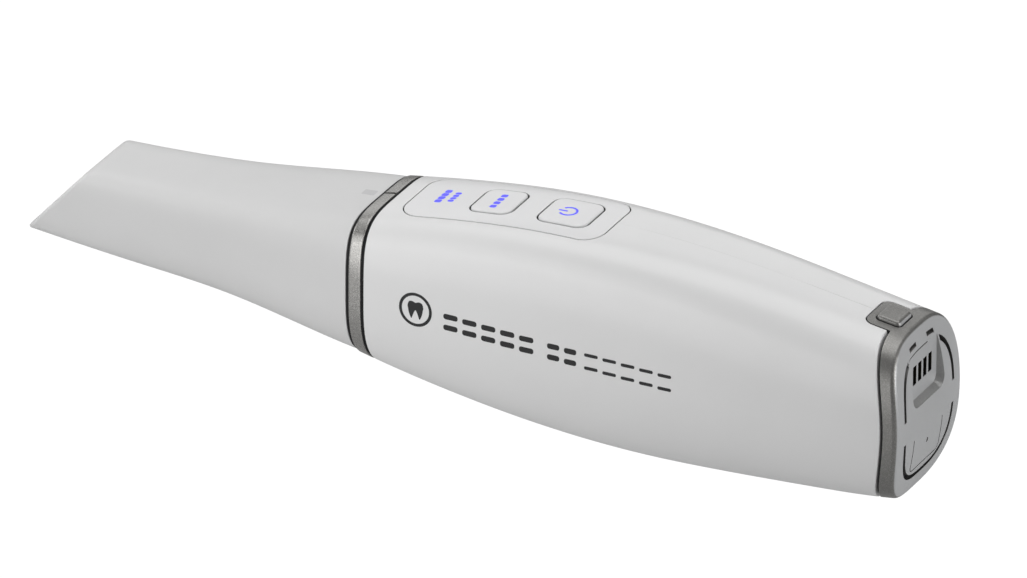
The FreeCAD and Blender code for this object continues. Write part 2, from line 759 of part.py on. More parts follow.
def cap_frame():
    frame = body(3.0).common(dome(DOME_R - CAP_SKIN - 0.05)).cut(dome(FRAME_FRONT_R))
    frame = frame.common(slab(125, 150))
    frame = frame.cut(brick((RECESS_FLOOR_X - FLOOR_THICKNESS - 0.05, 150), sym(10.1), (-3.7, 20)))
    frame = frame.cut(brick((130, 150), sym(7.2), (1.0, 9.8)))
    frame = frame.cut(brick((120, 140), sym(5), (10.4, 30)))
    return frame


def charge_contact_block():
    block = brick((RECESS_FLOOR_X - 2.65, RECESS_FLOOR_X - FLOOR_THICKNESS), sym(7.0), (1.2, 9.6))
    return block.common(dome(DOME_R - CAP_SKIN - 0.05))


def charge_contacts():
    x = (RECESS_FLOOR_X - FLOOR_THICKNESS, RECESS_FLOOR_X - CONTACT_SET_BACK)
    blades = [brick(x, (y - 0.35, y + 0.35), (CONTACT_Z - 1.9, CONTACT_Z + 1.9)) for y in contact_places()]
    return Part.makeCompound(blades)


def battery_gasket():
    ring = body(0.4).cut(body(2.4)).common(dome(CAP_EDGE_R)).cut(dome(SHELL_EDGE_R + 0.05))
    return ring.cut(tab_prism(0.02)).common(slab(125, 150))


# ---------------------------------------------------------------- release latch
def release_button():
    prism = brick(RELEASE_X, sym(RELEASE_HALF_Y), (5, 30), 1.0, "Z")
    cap = body(-RELEASE_PROUD).cut(body(TAB_DEPTH)).common(prism)
    stem = brick((130.4, 133.4), sym(2.0), (LEVER_Z[1], 17)).common(body(TAB_DEPTH - 0.4))
    return cap.fuse(stem)


def latch_lever():
    plate = brick((124.2, 134.0), sym(3.0), LEVER_Z, 1.0, "Z")
    bar = brick((124.2, 126.0), sym(8.8), LEVER_Z)
    lever = plate.fuse(bar)
    for side in (-1, 1):
        y = sorted((side * 6.8, side * 8.8))
        lever = lever.fuse(brick((124.2, 126.0), y, (LEVER_Z[0], CATCH_BOTTOM - 0.15)))
    return lever


def latch_spring():
    turns = 3
    height = LEVER_Z[0] - CASE_Z[1]
    wire = 0.5
    pitch = (height - wire) / turns
    helix = Part.makeHelix(pitch, height - wire, 1.7)
    helix.translate(V(131.1, 0, CASE_Z[1] + wire / 2))
    start = helix.Edges[0].Vertexes[0].Point
    circle = Part.Wire(Part.makeCircle(wire / 2 - 0.02, start, V(0, 1, 0)))
    return Part.Wire(helix).makePipeShell([circle], True, True)


# ---------------------------------------------------------------- output
def all_parts():
    shell = shell_pair()
    return {
        "tip_shell": tip_shell(),
        "tip_mirror": tip_mirror(),
        "mirror_heater": mirror_heater(),
        "heater_flex": heater_flex(),
        "tip_contact_pads": tip_contact_pads(),
        "collar_ring": collar_ring(),
        "collar_front_gasket": collar_front_gasket(),
        "collar_rear_gasket": collar_rear_gasket(),
        "nose_barrel": nose_barrel(),
        "nose_window": nose_window(),
        "nose_contact_pins": nose_contact_pins(),
        "tip_seal_ring": tip_seal_ring(),
        "optical_chassis": optical_chassis(),
        "camera_barrels": camera_barrels(),
        "camera_front_lenses": camera_front_lenses(),
        "camera_rear_lenses": camera_rear_lenses(),
        "camera_sensors": camera_sensors(),
        "camera_board": camera_board(),
        "projector_barrel": projector_barrel(),
        "projector_lenses": projector_lenses(),
        "light_engine_housing": light_engine_housing(),
        "pattern_slide": pattern_slide(),
        "condenser_lens": condenser_lens(),
        "projector_led": projector_led(),
        "projector_led_board": projector_led_board(),
        "heat_sink": heat_sink(),
        "fan_frame": fan_frame(),
        "fan_screws": fan_screws(),
        "fan_rotor": fan_rotor(),
        "inner_frame": inner_frame(),
        "main_board": main_board(),
        "board_screws": board_screws(),
        "processor_shield": processor_shield(),
        "wireless_module": wireless_module(),
        "antenna_strip": antenna_strip(),
        "board_connectors": board_connectors(),
        "body_shell_left": body_shell_left(shell),
        "body_shell_right": body_shell_right(shell),
        "keypad_panel": keypad_panel(),
        "status_lenses": status_lenses(),
        "mode_button": push_button(MODE_X, MODE_HALF_Y),
        "power_button": push_button(POWER_X, POWER_HALF_Y),
        "tact_switches": tact_switches(),
        "keypad_board": keypad_board(),
        "status_leds": status_leds(),
        "battery_bay": battery_bay(),
        "battery_contact_block": battery_contact_block(),
        "battery_spring_pins": battery_spring_pins(),
        "battery_case": battery_case(),
        "battery_cell": battery_cell(),
        "protection_board": protection_board(),
        "pack_contact_pads": pack_contact_pads(),
        "end_cap": end_cap(),
        "cap_frame": cap_frame(),
        "charge_contact_block": charge_contact_block(),
        "charge_contacts": charge_contacts(),
        "battery_gasket": battery_gasket(),
        "release_button": release_button(),
        "latch_lever": latch_lever(),
        "latch_spring": latch_spring(),
    }


def main():
    os.makedirs("parts", exist_ok=True)
    for name, shape in all_parts().items():
        shape.exportStep("parts/" + name + ".step")
        print(name, len(shape.Solids), round(shape.Volume, 2), shape.isValid())


main()
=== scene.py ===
"""Visual model of a wireless intraoral scanner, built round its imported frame."""
import math
from functools import partial

import bpy
import bmesh
import numpy as np
from mathutils import Matrix, Vector


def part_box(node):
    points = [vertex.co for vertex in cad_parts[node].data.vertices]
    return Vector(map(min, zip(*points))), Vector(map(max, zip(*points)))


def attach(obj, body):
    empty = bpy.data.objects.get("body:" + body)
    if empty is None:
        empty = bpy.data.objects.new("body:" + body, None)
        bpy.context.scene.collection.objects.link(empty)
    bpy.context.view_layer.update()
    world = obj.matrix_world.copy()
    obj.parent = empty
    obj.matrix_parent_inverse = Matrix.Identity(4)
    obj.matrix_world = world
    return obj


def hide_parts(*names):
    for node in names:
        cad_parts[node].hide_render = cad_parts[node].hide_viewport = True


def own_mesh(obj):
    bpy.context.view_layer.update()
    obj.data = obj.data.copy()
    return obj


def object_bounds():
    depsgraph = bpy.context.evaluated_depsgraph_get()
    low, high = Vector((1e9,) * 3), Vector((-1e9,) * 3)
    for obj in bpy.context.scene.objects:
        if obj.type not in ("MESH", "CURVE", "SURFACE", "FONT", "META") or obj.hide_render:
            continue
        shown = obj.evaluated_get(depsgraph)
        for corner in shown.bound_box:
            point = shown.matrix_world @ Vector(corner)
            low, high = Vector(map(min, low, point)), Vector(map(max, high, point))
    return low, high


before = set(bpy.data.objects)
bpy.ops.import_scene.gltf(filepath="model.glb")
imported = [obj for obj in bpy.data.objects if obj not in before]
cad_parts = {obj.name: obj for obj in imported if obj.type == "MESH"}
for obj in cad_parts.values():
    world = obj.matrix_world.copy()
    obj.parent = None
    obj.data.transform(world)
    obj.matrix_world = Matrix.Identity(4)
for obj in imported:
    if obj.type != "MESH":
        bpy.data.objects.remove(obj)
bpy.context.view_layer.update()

MM = 0.001                # the shape tables below are in millimetres

# Stations of the two outer forms, as in the CAD: x, half width, top, bottom,
# height of the widest line, and the squareness above and below that line.
BODY_STATIONS = (
    (-2.0, 18.3, 18.6, -18.4, 0.5, 4.4, 2.7),
    (4.0, 18.4, 19.8, -20.0, 0.0, 4.3, 2.7),
    (22.0, 18.7, 22.6, -24.2, -0.8, 4.3, 2.6),
    (45.0, 19.0, 24.8, -28.2, -2.0, 4.3, 2.4),
    (70.0, 18.8, 24.8, -30.2, -2.8, 4.1, 2.3),
    (95.0, 18.4, 22.6, -29.4, -3.6, 3.8, 2.4),
    (118.0, 17.9, 19.2, -27.5, -4.2, 3.5, 2.7),
    (132.0, 17.6, 17.0, -25.9, -4.2, 3.3, 3.0),
    (143.0, 17.1, 15.2, -24.0, -4.2, 3.2, 3.2),
)
TIP_STATIONS = (
    (-93.0, 11.4, 13.5, -5.8, 3.8, 4.5, 4.6),
    (-72.0, 12.0, 13.7, -8.2, 3.0, 4.5, 4.2),
    (-55.0, 12.7, 14.1, -10.2, 2.4, 4.5, 3.4),
    (-35.0, 14.4, 15.3, -12.2, 1.8, 4.3, 3.0),
    (-15.0, 16.8, 17.4, -15.6, 1.2, 4.3, 2.9),
    (2.0, 18.4, 18.8, -18.9, 0.4, 4.5, 2.7),
)

WALL = 2.0                # body shell
TIP_WALL = 1.6
SHELL_FRONT = 4.8
RIM = 0.22                # rounding of the shells' end rims
SHELL_EDGE_R = 59.65      # the shells end on a cylinder along Y round the dome's centre
SHELL_ROWS = 120
REAR_X = 141.3            # rearmost point of the domed rear face
DOME_R = 64.0
DOME_X = REAR_X - DOME_R
DOME_Z = -4.5

FACE_TOP = (-73.1, 11.4)  # a point of the slanted tip face, x and z
FACE_SLOPE = math.tan(math.radians(47.8))
FACE_ROUNDING = 1.3
TIP_REAR = 0.1
TIP_ROWS = 110
WINDOW = ((-85.0, -68.0), 8.6, 2.0)   # light window under the tip: x range, half width, corner radius
COLLAR_FRONT = 0.9
COLLAR_PROUD = 0.03       # how far the collar stands above the body's form
COLLAR_BEVEL = 0.16
COLLAR_DEPTH = 2.5        # how far the collar and its front seal reach inwards
NOTCH_DEPTH = 0.75        # alignment notch on top of the collar
SEAL_INSET = 0.3          # the seal in front of the collar lies this far below the surface

TAB = (127.2, 5.9, 2.0)   # end cap tab: front x, half width, corner radius
BUTTON_FLANGE = 0.9       # the hidden flange is this much wider than its button
BUTTON_PROUD = 0.25
BUTTON_DISH = 0.05        # how far the middle of a button is hollowed
BUTTON_GROOVE = 0.42      # visible gap round each button
PANEL_GROOVE = 0.28       # gap round the keypad panel
TAB_GROOVE = 0.36         # gap between the shells and the end cap's tab
OPENING_LIP = 0.12        # lip of the shells' openings for the panel and the tab
OPENING_DEPTH = 9.0
GAP_SHADE_DEPTH = 0.25         # how far below the surface the black strip in these gaps lies; it paints their shade
GAP_SHADE_THICKNESS = 0.5
SLACK = 0.02              # clearance between a black gap strip and the parts beside it
TAB_SHADE_END = 4.5        # the black strip of painted shade in the tab's gap stops this far ahead of the rear face
LIP_HEIGHT = 0.05         # black lip round the release button, partly a rubber lip and partly painted shade at its base: height above the tab, width and depth
LIP_WIDTH = 0.38
LIP_DEPTH = 0.1
SPRING_TURNS = 3
SPRING_WIRE = 0.23        # half the wire's thickness
RECESS_SHADE_BOX = ((REAR_X - 3, 0, 3), (4, 10, 9))         # box of the painted shade on the walls of the charging recess: centre, half size
SLOT_SHADOW_BOX = ((REAR_X - 3.4, 0, 5.4), (1.3, 6.2, 3.2))     # round the contact slots in it, whose insides are painted black as shadow
CLEAR = 5.0               # how far the cutters for the openings reach above the surface

INK_LIFT = 0.015          # how far printed marks, status lights and button legends stand up
LIGHT_LIFT = 0.02
LEGEND_LIFT = 0.04
INK_DEPTH = 0.05
ON_FORM = 0.0012          # a point this close to a form's level 1 counts as lying on it
ALIGNED = math.radians(14)    # and its face as following the form up to this angle


# ---------------------------------------------------------------- forms
def spline_bends(x, rows):
    """Second derivatives of the cubic spline through the rows, not-a-knot at both ends."""
    count = len(x)
    step = np.diff(x)
    matrix = np.zeros((count, count))
    right = np.zeros(rows.shape)
    matrix[0, :3] = (step[1], -(step[0] + step[1]), step[0])
    matrix[-1, -3:] = (step[-1], -(step[-2] + step[-1]), step[-2])
    for i in range(1, count - 1):
        matrix[i, i - 1:i + 2] = (step[i - 1], 2 * (step[i - 1] + step[i]), step[i])
        ahead = (rows[i + 1] - rows[i]) / step[i]
        behind = (rows[i] - rows[i - 1]) / step[i - 1]
        right[i] = 6 * (ahead - behind)
    return np.linalg.solve(matrix, right)


class Form:
    """A smooth tube whose section is a superellipse, squarer above than below."""

    def __init__(self, stations):
        table = np.array(stations)
        self.x = table[:, 0]
        self.rows = table[:, 1:]
        self.bends = spline_bends(self.x, self.rows)

    def section(self, x):
        """Half width, top, bottom, widest height and both squarenesses at x."""
        x = np.asarray(x, float)
        i = np.clip(np.searchsorted(self.x, x, side="right") - 1, 0, len(self.x) - 2)
        step = (self.x[i + 1] - self.x[i])[..., None]
        a = (self.x[i + 1] - x)[..., None] / step
        b = 1 - a
        curve = (a ** 3 - a) * self.bends[i] + (b ** 3 - b) * self.bends[i + 1]
        values = a * self.rows[i] + b * self.rows[i + 1] + curve * step * step / 6
        return np.moveaxis(values, -1, 0)

    def around(self, x, angle, inset=0.0):
        """Points at x and a turning angle, moved inwards by inset."""
        x, angle, inset = np.broadcast_arrays(np.asarray(x, float), angle, inset)
        half, top, bottom, widest, n_top, n_bottom = self.section(x)
        c = np.cos(angle)
        s = np.sin(angle)
        n = np.where(s > 0, n_top, n_bottom)
        reach = np.where(s > 0, top - widest, widest - bottom)
        r = (np.abs(c) ** n + np.abs(s) ** n) ** (-1 / n)
        y = (half - inset) * r * c
        z = widest + (reach - inset) * r * s
        return np.stack([x, y, z], -1)

    def top_at(self, x, y):
        """Points on the upper surface above x, y."""
        half, top, _, widest, n, _ = self.section(x)
        t = np.clip(np.abs(y) / half, 0, 0.999)
        return np.stack([x, y, widest + (top - widest) * (1 - t ** n) ** (1 / n)], -1)

    def side_at(self, x, z, side=-1):
        """Points on the flank at x, z."""
        half, top, bottom, widest, n_top, n_bottom = self.section(x)
        above = z > widest
        n = np.where(above, n_top, n_bottom)
        reach = np.where(above, top - widest, widest - bottom)
        t = np.clip(np.abs(z - widest) / reach, 0, 0.999)
        return np.stack([x, side * half * (1 - t ** n) ** (1 / n), z], -1)

    def level(self, points):
        """1 on the surface, less inside and more outside."""
        half, top, bottom, widest, n_top, n_bottom = self.section(points[..., 0])
        rise = points[..., 2] - widest
        n = np.where(rise > 0, n_top, n_bottom)
        reach = np.where(rise > 0, top - widest, widest - bottom)
        return (np.abs(points[..., 1] / half) ** n + np.abs(rise / reach) ** n) ** (1 / n)

    def normal(self, points):
        """Unit outward normals, from small differences of the level."""
        step = 0.02
        slopes = []
        for axis in range(3):
            shift = np.zeros(3)
            shift[axis] = step
            slopes.append(self.level(points + shift) - self.level(points - shift))
        slopes = np.stack(slopes, -1)
        return slopes / np.linalg.norm(slopes, axis=-1, keepdims=True)

    def even_angles(self, x, start, stop, count):
        """Angles that space points evenly along the section at x."""
        fine = np.linspace(start, stop, 4000)
        steps = np.diff(self.around(x, fine), axis=0)
        along = np.concatenate([[0], np.cumsum(np.linalg.norm(steps, axis=1))])
        return np.interp(np.linspace(0, along[-1], count), along, fine)


BODY = Form(BODY_STATIONS)
TIP = Form(TIP_STATIONS)


# ---------------------------------------------------------------- meshes
def mesh_piece(name, points, faces):
    """A new object from points in millimetres, with its faces turned outwards."""
    mesh = bpy.data.meshes.new(name)
    mesh.from_pydata((np.asarray(points) * MM).tolist(), [], faces)
    work = bmesh.new()
    work.from_mesh(mesh)
    bmesh.ops.recalc_face_normals(work, faces=work.faces)
    work.to_mesh(mesh)
    work.free()
    piece = bpy.data.objects.new(name, mesh)
    bpy.context.scene.collection.objects.link(piece)
    return piece


def ring_solid(rings):
    """Points and faces of a closed solid through rings of equal length, with fans at both ends."""
    count = len(rings[0])
    points = [p for ring in rings for p in ring]
    faces = []
    for k in range(len(rings) - 1):
        for i in range(count):
            j = (i + 1) % count
            faces.append((k * count + i, k * count + j, (k + 1) * count + j, (k + 1) * count + i))
    for k in (0, len(rings) - 1):
        middle = len(points)
        points.append(np.mean(rings[k], axis=0))
        for i in range(count):
            faces.append((k * count + i, k * count + (i + 1) % count, middle))
    return np.array(points), faces


def loop_solid(rows):
    """Points and faces of a ring-shaped solid: rows closed round, and the last row meets the first."""
    count = len(rows[0])
    faces = []
    for k in range(len(rows)):
        following = (k + 1) % len(rows)
        for i in range(count):
            j = (i + 1) % count
            faces.append((k * count + i, k * count + j, following * count + j, following * count + i))
    return np.concatenate(rows), faces


def plate_solid(outer, inner, closed=False):
    """Points and faces between two grids of equal size; closed joins the last row to the first."""
    rows, cols = outer.shape[:2]
    size = rows * cols
    points = np.concatenate([outer.reshape(-1, 3), inner.reshape(-1, 3)])
    faces = []
    last = rows if closed else rows - 1
    for i in range(last):
        for j in range(cols - 1):
            a = i * cols + j
            b = (i + 1) % rows * cols + j
            faces.append((a, a + 1, b + 1, b))
            faces.append((a + size, b + size, b + size + 1, a + size + 1))
        for j in (0, cols - 1):
            a = i * cols + j
            b = (i + 1) % rows * cols + j
            faces.append((a, b, b + size, a + size))
    if not closed:
        for i in (0, rows - 1):
            for j in range(cols - 1):
                a = i * cols + j
                faces.append((a, a + 1, a + 1 + size, a + size))
    return points, faces


def joined(parts):
    """One set of points and faces from several."""
    points = []
    faces = []
    offset = 0
    for some_points, some_faces in parts:
        points.append(some_points)
        faces += [tuple(i + offset for i in face) for face in some_faces]
        offset += len(some_points)
    return np.concatenate(points), faces


def boolean(piece, cutter, operation="DIFFERENCE"):
    """Cuts piece with cutter, bakes the result into its mesh and removes the cutter."""
    step = piece.modifiers.new("cut", "BOOLEAN")
    step.operation = operation
    step.solver = "EXACT"
    step.object = cutter
    graph = bpy.context.evaluated_depsgraph_get()
    result = bpy.data.meshes.new_from_object(piece.evaluated_get(graph))
    piece.modifiers.remove(step)
    old = piece.data
    piece.data = result
    result.name = old.name
    bpy.data.meshes.remove(old)
    bpy.data.objects.remove(cutter)


def shade(piece, form=None, crease=32):
    """Smooth shading up to the crease angle, with the form's own normals where a face lies on it."""
    mesh = piece.data
    mesh.polygons.foreach_set("use_smooth", np.ones(len(mesh.polygons), bool))
    mesh.set_sharp_from_angle(angle=math.radians(crease))
    if form is None:
        return
    count = len(mesh.loops)
    normals = np.zeros(count * 3, np.float32)
    mesh.corner_normals.foreach_get("vector", normals)
    normals = normals.reshape(-1, 3)
    corner_vertex = np.zeros(count, int)
    mesh.loops.foreach_get("vertex_index", corner_vertex)
    points = np.zeros(len(mesh.vertices) * 3, np.float32)
    mesh.vertices.foreach_get("co", points)
    points = points.reshape(-1, 3) / MM
    face_normals = np.zeros(len(mesh.polygons) * 3, np.float32)
    mesh.polygons.foreach_get("normal", face_normals)
    sizes = np.zeros(len(mesh.polygons), int)
    mesh.polygons.foreach_get("loop_total", sizes)
    corner_face = np.repeat(face_normals.reshape(-1, 3), sizes, axis=0)
    outward = form.normal(points)[corner_vertex]
    on_form = np.abs(form.level(points) - 1)[corner_vertex] < ON_FORM
    aligned = (corner_face * outward).sum(1) > math.cos(ALIGNED)
    chosen = on_form & aligned
    normals[chosen] = outward[chosen]
    mesh.normals_split_custom_set(normals.tolist())


def rounded_rect(x, half_y, radius, grow=0.0, arc=10, straight=1.4):
    """Outline in x and y of a rounded rectangle; grow changes its size but not its point count."""
    middle = (x[0] + x[1]) / 2
    half_x = (x[1] - x[0]) / 2
    across = max(2, math.ceil(2 * (half_y - radius) / straight))
    along = max(2, math.ceil(2 * (half_x - radius) / straight))
    corners = ((1, 1), (-1, 1), (-1, -1), (1, -1))
    points = []
    for k, (sx, sy) in enumerate(corners):
        for i in range(arc + 1):
            angle = math.pi / 2 * (k + i / arc)
            px = middle + sx * (half_x - radius) + (radius + grow) * math.cos(angle)
            py = sy * (half_y - radius) + (radius + grow) * math.sin(angle)
            points.append((px, py))
        nx, ny = corners[(k + 1) % 4]
        start = np.array(points[-1])
        angle = math.pi / 2 * (k + 1)
        end_x = middle + nx * (half_x - radius) + (radius + grow) * math.cos(angle)
        end_y = ny * (half_y - radius) + (radius + grow) * math.sin(angle)
        count = along if k in (0, 2) else across
        for i in range(1, count):
            points.append(tuple(start + (np.array((end_x, end_y)) - start) * i / count))
    return np.array(points)


def quarter(radius, steps=4):
    """(along, down) pairs of a quarter round, from the wall to the surface."""
    pairs = []
    for k in range(steps + 1):
        angle = math.pi / 2 * k / steps
        pairs.append((radius * (1 - math.cos(angle)), radius * (1 - math.sin(angle))))
    return pairs


def lifted_ring(edge, lift):
    """An outline laid on the upper surface of the body and raised by lift."""
    ring = BODY.top_at(edge[:, 0], edge[:, 1])
    ring[:, 2] += lift
    return ring


def well(outline, lip, depth):
    """A cutter through the upper surface of the body whose mouth opens out in a small lip."""
    profile = [(0, -depth), (0, -lip), (lip * 0.3, -lip * 0.3), (lip, 0.0)]
    profile += [(lip * 3, 0.6), (lip * 3, CLEAR)]
    rings = [lifted_ring(outline(grow), lift) for grow, lift in profile]
    return mesh_piece("cutter", *ring_solid(rings))


def pad(name, outline, proud, rounding, depth, dish=0.0, inner_rings=12):
    """A cap that follows the body's upper surface, with rounded edges."""
    levels = [(0.0, -depth)]
    levels += [(-inward, proud - down) for inward, down in quarter(rounding)]
    rings = [lifted_ring(outline(grow), lift) for grow, lift in levels]
    edge = outline(-rounding)
    middle = (edge.min(0) + edge.max(0)) / 2
    for k in range(1, inner_rings):
        share = 1 - k / inner_rings
        rings.append(lifted_ring(middle + (edge - middle) * share, proud - dish * (1 - share ** 2)))
    return mesh_piece(name, *ring_solid(rings))


# ---------------------------------------------------------------- materials
class Surface:
    """Builds one procedural material, node by node."""

    def __init__(self, name):
        self.material = bpy.data.materials.new(name)
        self.material.use_nodes = True
        self.tree = self.material.node_tree
        self.shader = self.tree.nodes["Principled BSDF"]
        self.place = self.tree.nodes.new("ShaderNodeTexCoord").outputs["Object"]

    def set(self, **values):
        for label, value in values.items():
            self.shader.inputs[label.replace("_", " ")].default_value = value

    def link(self, output, socket):
        self.tree.links.new(output, socket)

    def noise(self, scale, detail=3.0, rough=0.55, stretch=None):
        node = self.tree.nodes.new("ShaderNodeTexNoise")
        node.inputs["Scale"].default_value = scale
        node.inputs["Detail"].default_value = detail
        node.inputs["Roughness"].default_value = rough
        place = self.place
        if stretch:
            mapping = self.tree.nodes.new("ShaderNodeMapping")
            mapping.inputs["Scale"].default_value = stretch
            self.link(self.place, mapping.inputs["Vector"])
            place = mapping.outputs["Vector"]
        self.link(place, node.inputs["Vector"])
        return node.outputs["Fac"]

    def cells(self, scale):
        node = self.tree.nodes.new("ShaderNodeTexVoronoi")
        node.inputs["Scale"].default_value = scale
        self.link(self.place, node.inputs["Vector"])
        split = self.tree.nodes.new("ShaderNodeSeparateColor")
        self.link(node.outputs["Color"], split.inputs["Color"])
        return split.outputs["Red"]

    def span(self, value, low, high, start=0.3, stop=0.7):
        """value from start..stop onto low..high."""
        node = self.tree.nodes.new("ShaderNodeMapRange")
        node.inputs["From Min"].default_value = start
        node.inputs["From Max"].default_value = stop
        node.inputs["To Min"].default_value = low
        node.inputs["To Max"].default_value = high
        self.link(value, node.inputs["Value"])
        return node.outputs["Result"]

    def mix(self, share, first, second):
        """A colour between two, by share; each may be a colour or another node's output."""
        node = self.tree.nodes.new("ShaderNodeMix")
        node.data_type = "RGBA"
        self.link(share, node.inputs["Factor"])
        for socket, colour in ((node.inputs[6], first), (node.inputs[7], second)):
            if isinstance(colour, tuple):
                socket.default_value = (*colour, 1)
            else:
                self.link(colour, socket)
        return node.outputs[2]

    def bump(self, height, distance, strength=1.0, under=None):
        node = self.tree.nodes.new("ShaderNodeBump")
        node.inputs["Distance"].default_value = distance
        node.inputs["Strength"].default_value = strength
        self.link(height, node.inputs["Height"])
        if under:
            self.link(under, node.inputs["Normal"])
        return node.outputs["Normal"]

    def math(self, operation, first, second):
        node = self.tree.nodes.new("ShaderNodeMath")
        node.operation = operation
        for socket, value in zip(node.inputs, (first, second)):
            if isinstance(value, (int, float)):
                socket.default_value = value
            else:
                self.link(value, socket)
        return node.outputs["Value"]

    def vector(self, operation, first, second):
        node = self.tree.nodes.new("ShaderNodeVectorMath")
        node.operation = operation
        for socket, value in zip(node.inputs, (first, second)):
            if isinstance(value, tuple):
                socket.default_value = value
            else:
                self.link(value, socket)
        return node.outputs["Value" if operation == "DOT_PRODUCT" else "Vector"]

    def edges(self, width):
        """1 within width of an edge and 0 elsewhere."""
        rounded = self.tree.nodes.new("ShaderNodeBevel")
        rounded.samples = 4
        rounded.inputs["Radius"].default_value = width
        plain = self.tree.nodes.new("ShaderNodeNewGeometry").outputs["Normal"]
        alike = self.vector("DOT_PRODUCT", rounded.outputs["Normal"], plain)
        return self.span(alike, 1, 0, 0.86, 0.99)

    def facing(self, direction, start, stop):
        """1 where the surface faces a fixed direction of the object, such as its rear."""
        plain = self.tree.nodes.new("ShaderNodeNewGeometry").outputs["Normal"]
        return self.span(self.vector("DOT_PRODUCT", plain, direction), 0, 1, start, stop)

    def within(self, centre, half):
        """1 inside a box of the object and 0 outside, from millimetres."""
        offset = self.vector("SUBTRACT", self.place, tuple(c * MM for c in centre))
        distance = self.vector("ABSOLUTE", offset, (0, 0, 0))
        share = self.vector("DIVIDE", distance, tuple(h * MM for h in half))
        split = self.tree.nodes.new("ShaderNodeSeparateXYZ")
        self.link(share, split.inputs["Vector"])
        widest = self.math("MAXIMUM", split.outputs["X"], split.outputs["Y"])
        widest = self.math("MAXIMUM", widest, split.outputs["Z"])
        return self.math("LESS_THAN", widest, 1.0)


def shades(colour, spread):
    """A colour made darker and lighter by the same share."""
    darker = tuple(c * (1 - spread) for c in colour)
    lighter = tuple(min(1.0, c * (1 + spread)) for c in colour)
    return darker, lighter


def moulded(name, colour, rough, coat=0.0, grain=(2600, 0.000012), spread=0.02, shine=0.5):
    """Moulded plastic or rubber: fine grain, uneven gloss and faint mottling."""
    s = Surface(name)
    dark, light = shades(colour, spread)
    s.link(s.mix(s.span(s.noise(35, 4), 0, 1), dark, light), s.shader.inputs["Base Color"])
    gloss = s.span(s.noise(160, 5, 0.6), rough - 0.04, rough + 0.04)
    s.link(gloss, s.shader.inputs["Roughness"])
    orange_peel = s.bump(s.noise(420, 2), grain[1] * 2, 0.25)
    s.link(s.bump(s.noise(grain[0], 2), grain[1], 0.6, orange_peel), s.shader.inputs["Normal"])
    s.set(Coat_Weight=coat, Coat_Roughness=0.12, Specular_IOR_Level=shine)
    return s.material


def flaked(name, colour, rough, share=0.8, rear_finish_and_light_colour=None):
    """Metallic paint: fine flakes, a light texture and a painted highlight along the edges.

    With rear_finish_and_light_colour, what faces the rear is smooth and has that colour, partly its own
    finish and partly painted light on the face turned to the lamp; the walls of the recess there are
    between the two, as painted shade, and the contact slots are black inside, as painted shadow.
    """
    s = Surface(name)
    dark, light = shades(colour, 0.06)
    base = s.mix(s.span(s.noise(60, 4), 0, 1), dark, light)
    sparkle = s.mix(s.span(s.cells(8500), 0, 1, 0.55, 1.0), base, shades(colour, 0.55)[1])
    # painted highlight: the edges are made brighter
    tone = s.mix(s.edges(0.00025), sparkle, shades(colour, 0.75)[1])
    gloss = s.span(s.cells(7000), rough - 0.08, rough + 0.06, 0, 1)
    if rear_finish_and_light_colour:
        # painted shade: the recess walls take part of the lighter rear tone, darker than the rear face, so
        # their shape shows
        recess = s.math("MULTIPLY", s.within(*RECESS_SHADE_BOX), 0.4)
        # what faces the rear is lighter: partly its own smooth finish, partly painted light on the face
        # turned to the lamp
        rear = s.math("MAXIMUM", s.facing((1, 0, 0), 0.74, 0.86), recess)
        smooth = s.mix(s.span(s.noise(45, 4), 0, 1), *shades(rear_finish_and_light_colour, 0.04))
        tone = s.mix(rear, tone, smooth)
        # painted shadow: the insides of the contact slots are black
        tone = s.mix(s.within(*SLOT_SHADOW_BOX), tone, (0.01, 0.01, 0.01))
    s.link(tone, s.shader.inputs["Base Color"])
    s.link(gloss, s.shader.inputs["Roughness"])
    texture = s.bump(s.cells(6500), 0.000006, 0.4)
    s.link(s.bump(s.noise(2400, 3), 0.000012, 0.4, texture), s.shader.inputs["Normal"])
    if rear_finish_and_light_colour:
        s.link(s.span(rear, share, 0.2, 0, 1), s.shader.inputs["Metallic"])
    else:
        s.set(Metallic=share)
    return s.material


def metal(name, colour, rough, stretch=(1, 1, 1), scale=900):
    """Bare metal with a directional machining texture."""
    s = Surface(name)
    dark, light = shades(colour, 0.08)
    streaks = s.noise(scale, 4, 0.6, stretch)
    s.link(s.mix(s.span(streaks, 0, 1), dark, light), s.shader.inputs["Base Color"])
    s.link(s.span(streaks, rough - 0.07, rough + 0.07), s.shader.inputs["Roughness"])
    s.link(s.bump(streaks, 0.00001, 0.5), s.shader.inputs["Normal"])
    s.set(Metallic=1.0)
    return s.material


def board(name):
    """Solder mask over copper tracks, with tinned pads."""
    s = Surface(name)
    tracks = s.tree.nodes.new("ShaderNodeTexBrick")
    tracks.inputs["Scale"].default_value = 260
    tracks.inputs["Mortar Size"].default_value = 0.035
    s.link(s.place, tracks.inputs["Vector"])
    mask = s.mix(tracks.outputs["Fac"], (0.012, 0.13, 0.05), (0.03, 0.26, 0.11))
    pads = s.span(s.cells(900), 0, 1, 0.955, 0.965)
    s.link(s.mix(pads, mask, (0.72, 0.6, 0.35)), s.shader.inputs["Base Color"])
    s.link(s.span(s.noise(300), 0.28, 0.42), s.shader.inputs["Roughness"])
    s.link(s.bump(tracks.outputs["Fac"], 0.00003, 0.5), s.shader.inputs["Normal"])
    return s.material


def glass(name, tint):
    """Coated optical glass with faint smears."""
    s = Surface(name)
    dark, light = shades(tint, 0.03)
    s.link(s.mix(s.span(s.noise(90), 0, 1), dark, light), s.shader.inputs["Base Color"])
    s.link(s.span(s.noise(240, 5), 0.015, 0.06), s.shader.inputs["Roughness"])
    s.set(Transmission_Weight=0.92, IOR=1.5, Coat_Weight=0.3, Coat_Roughness=0.03)
    return s.material


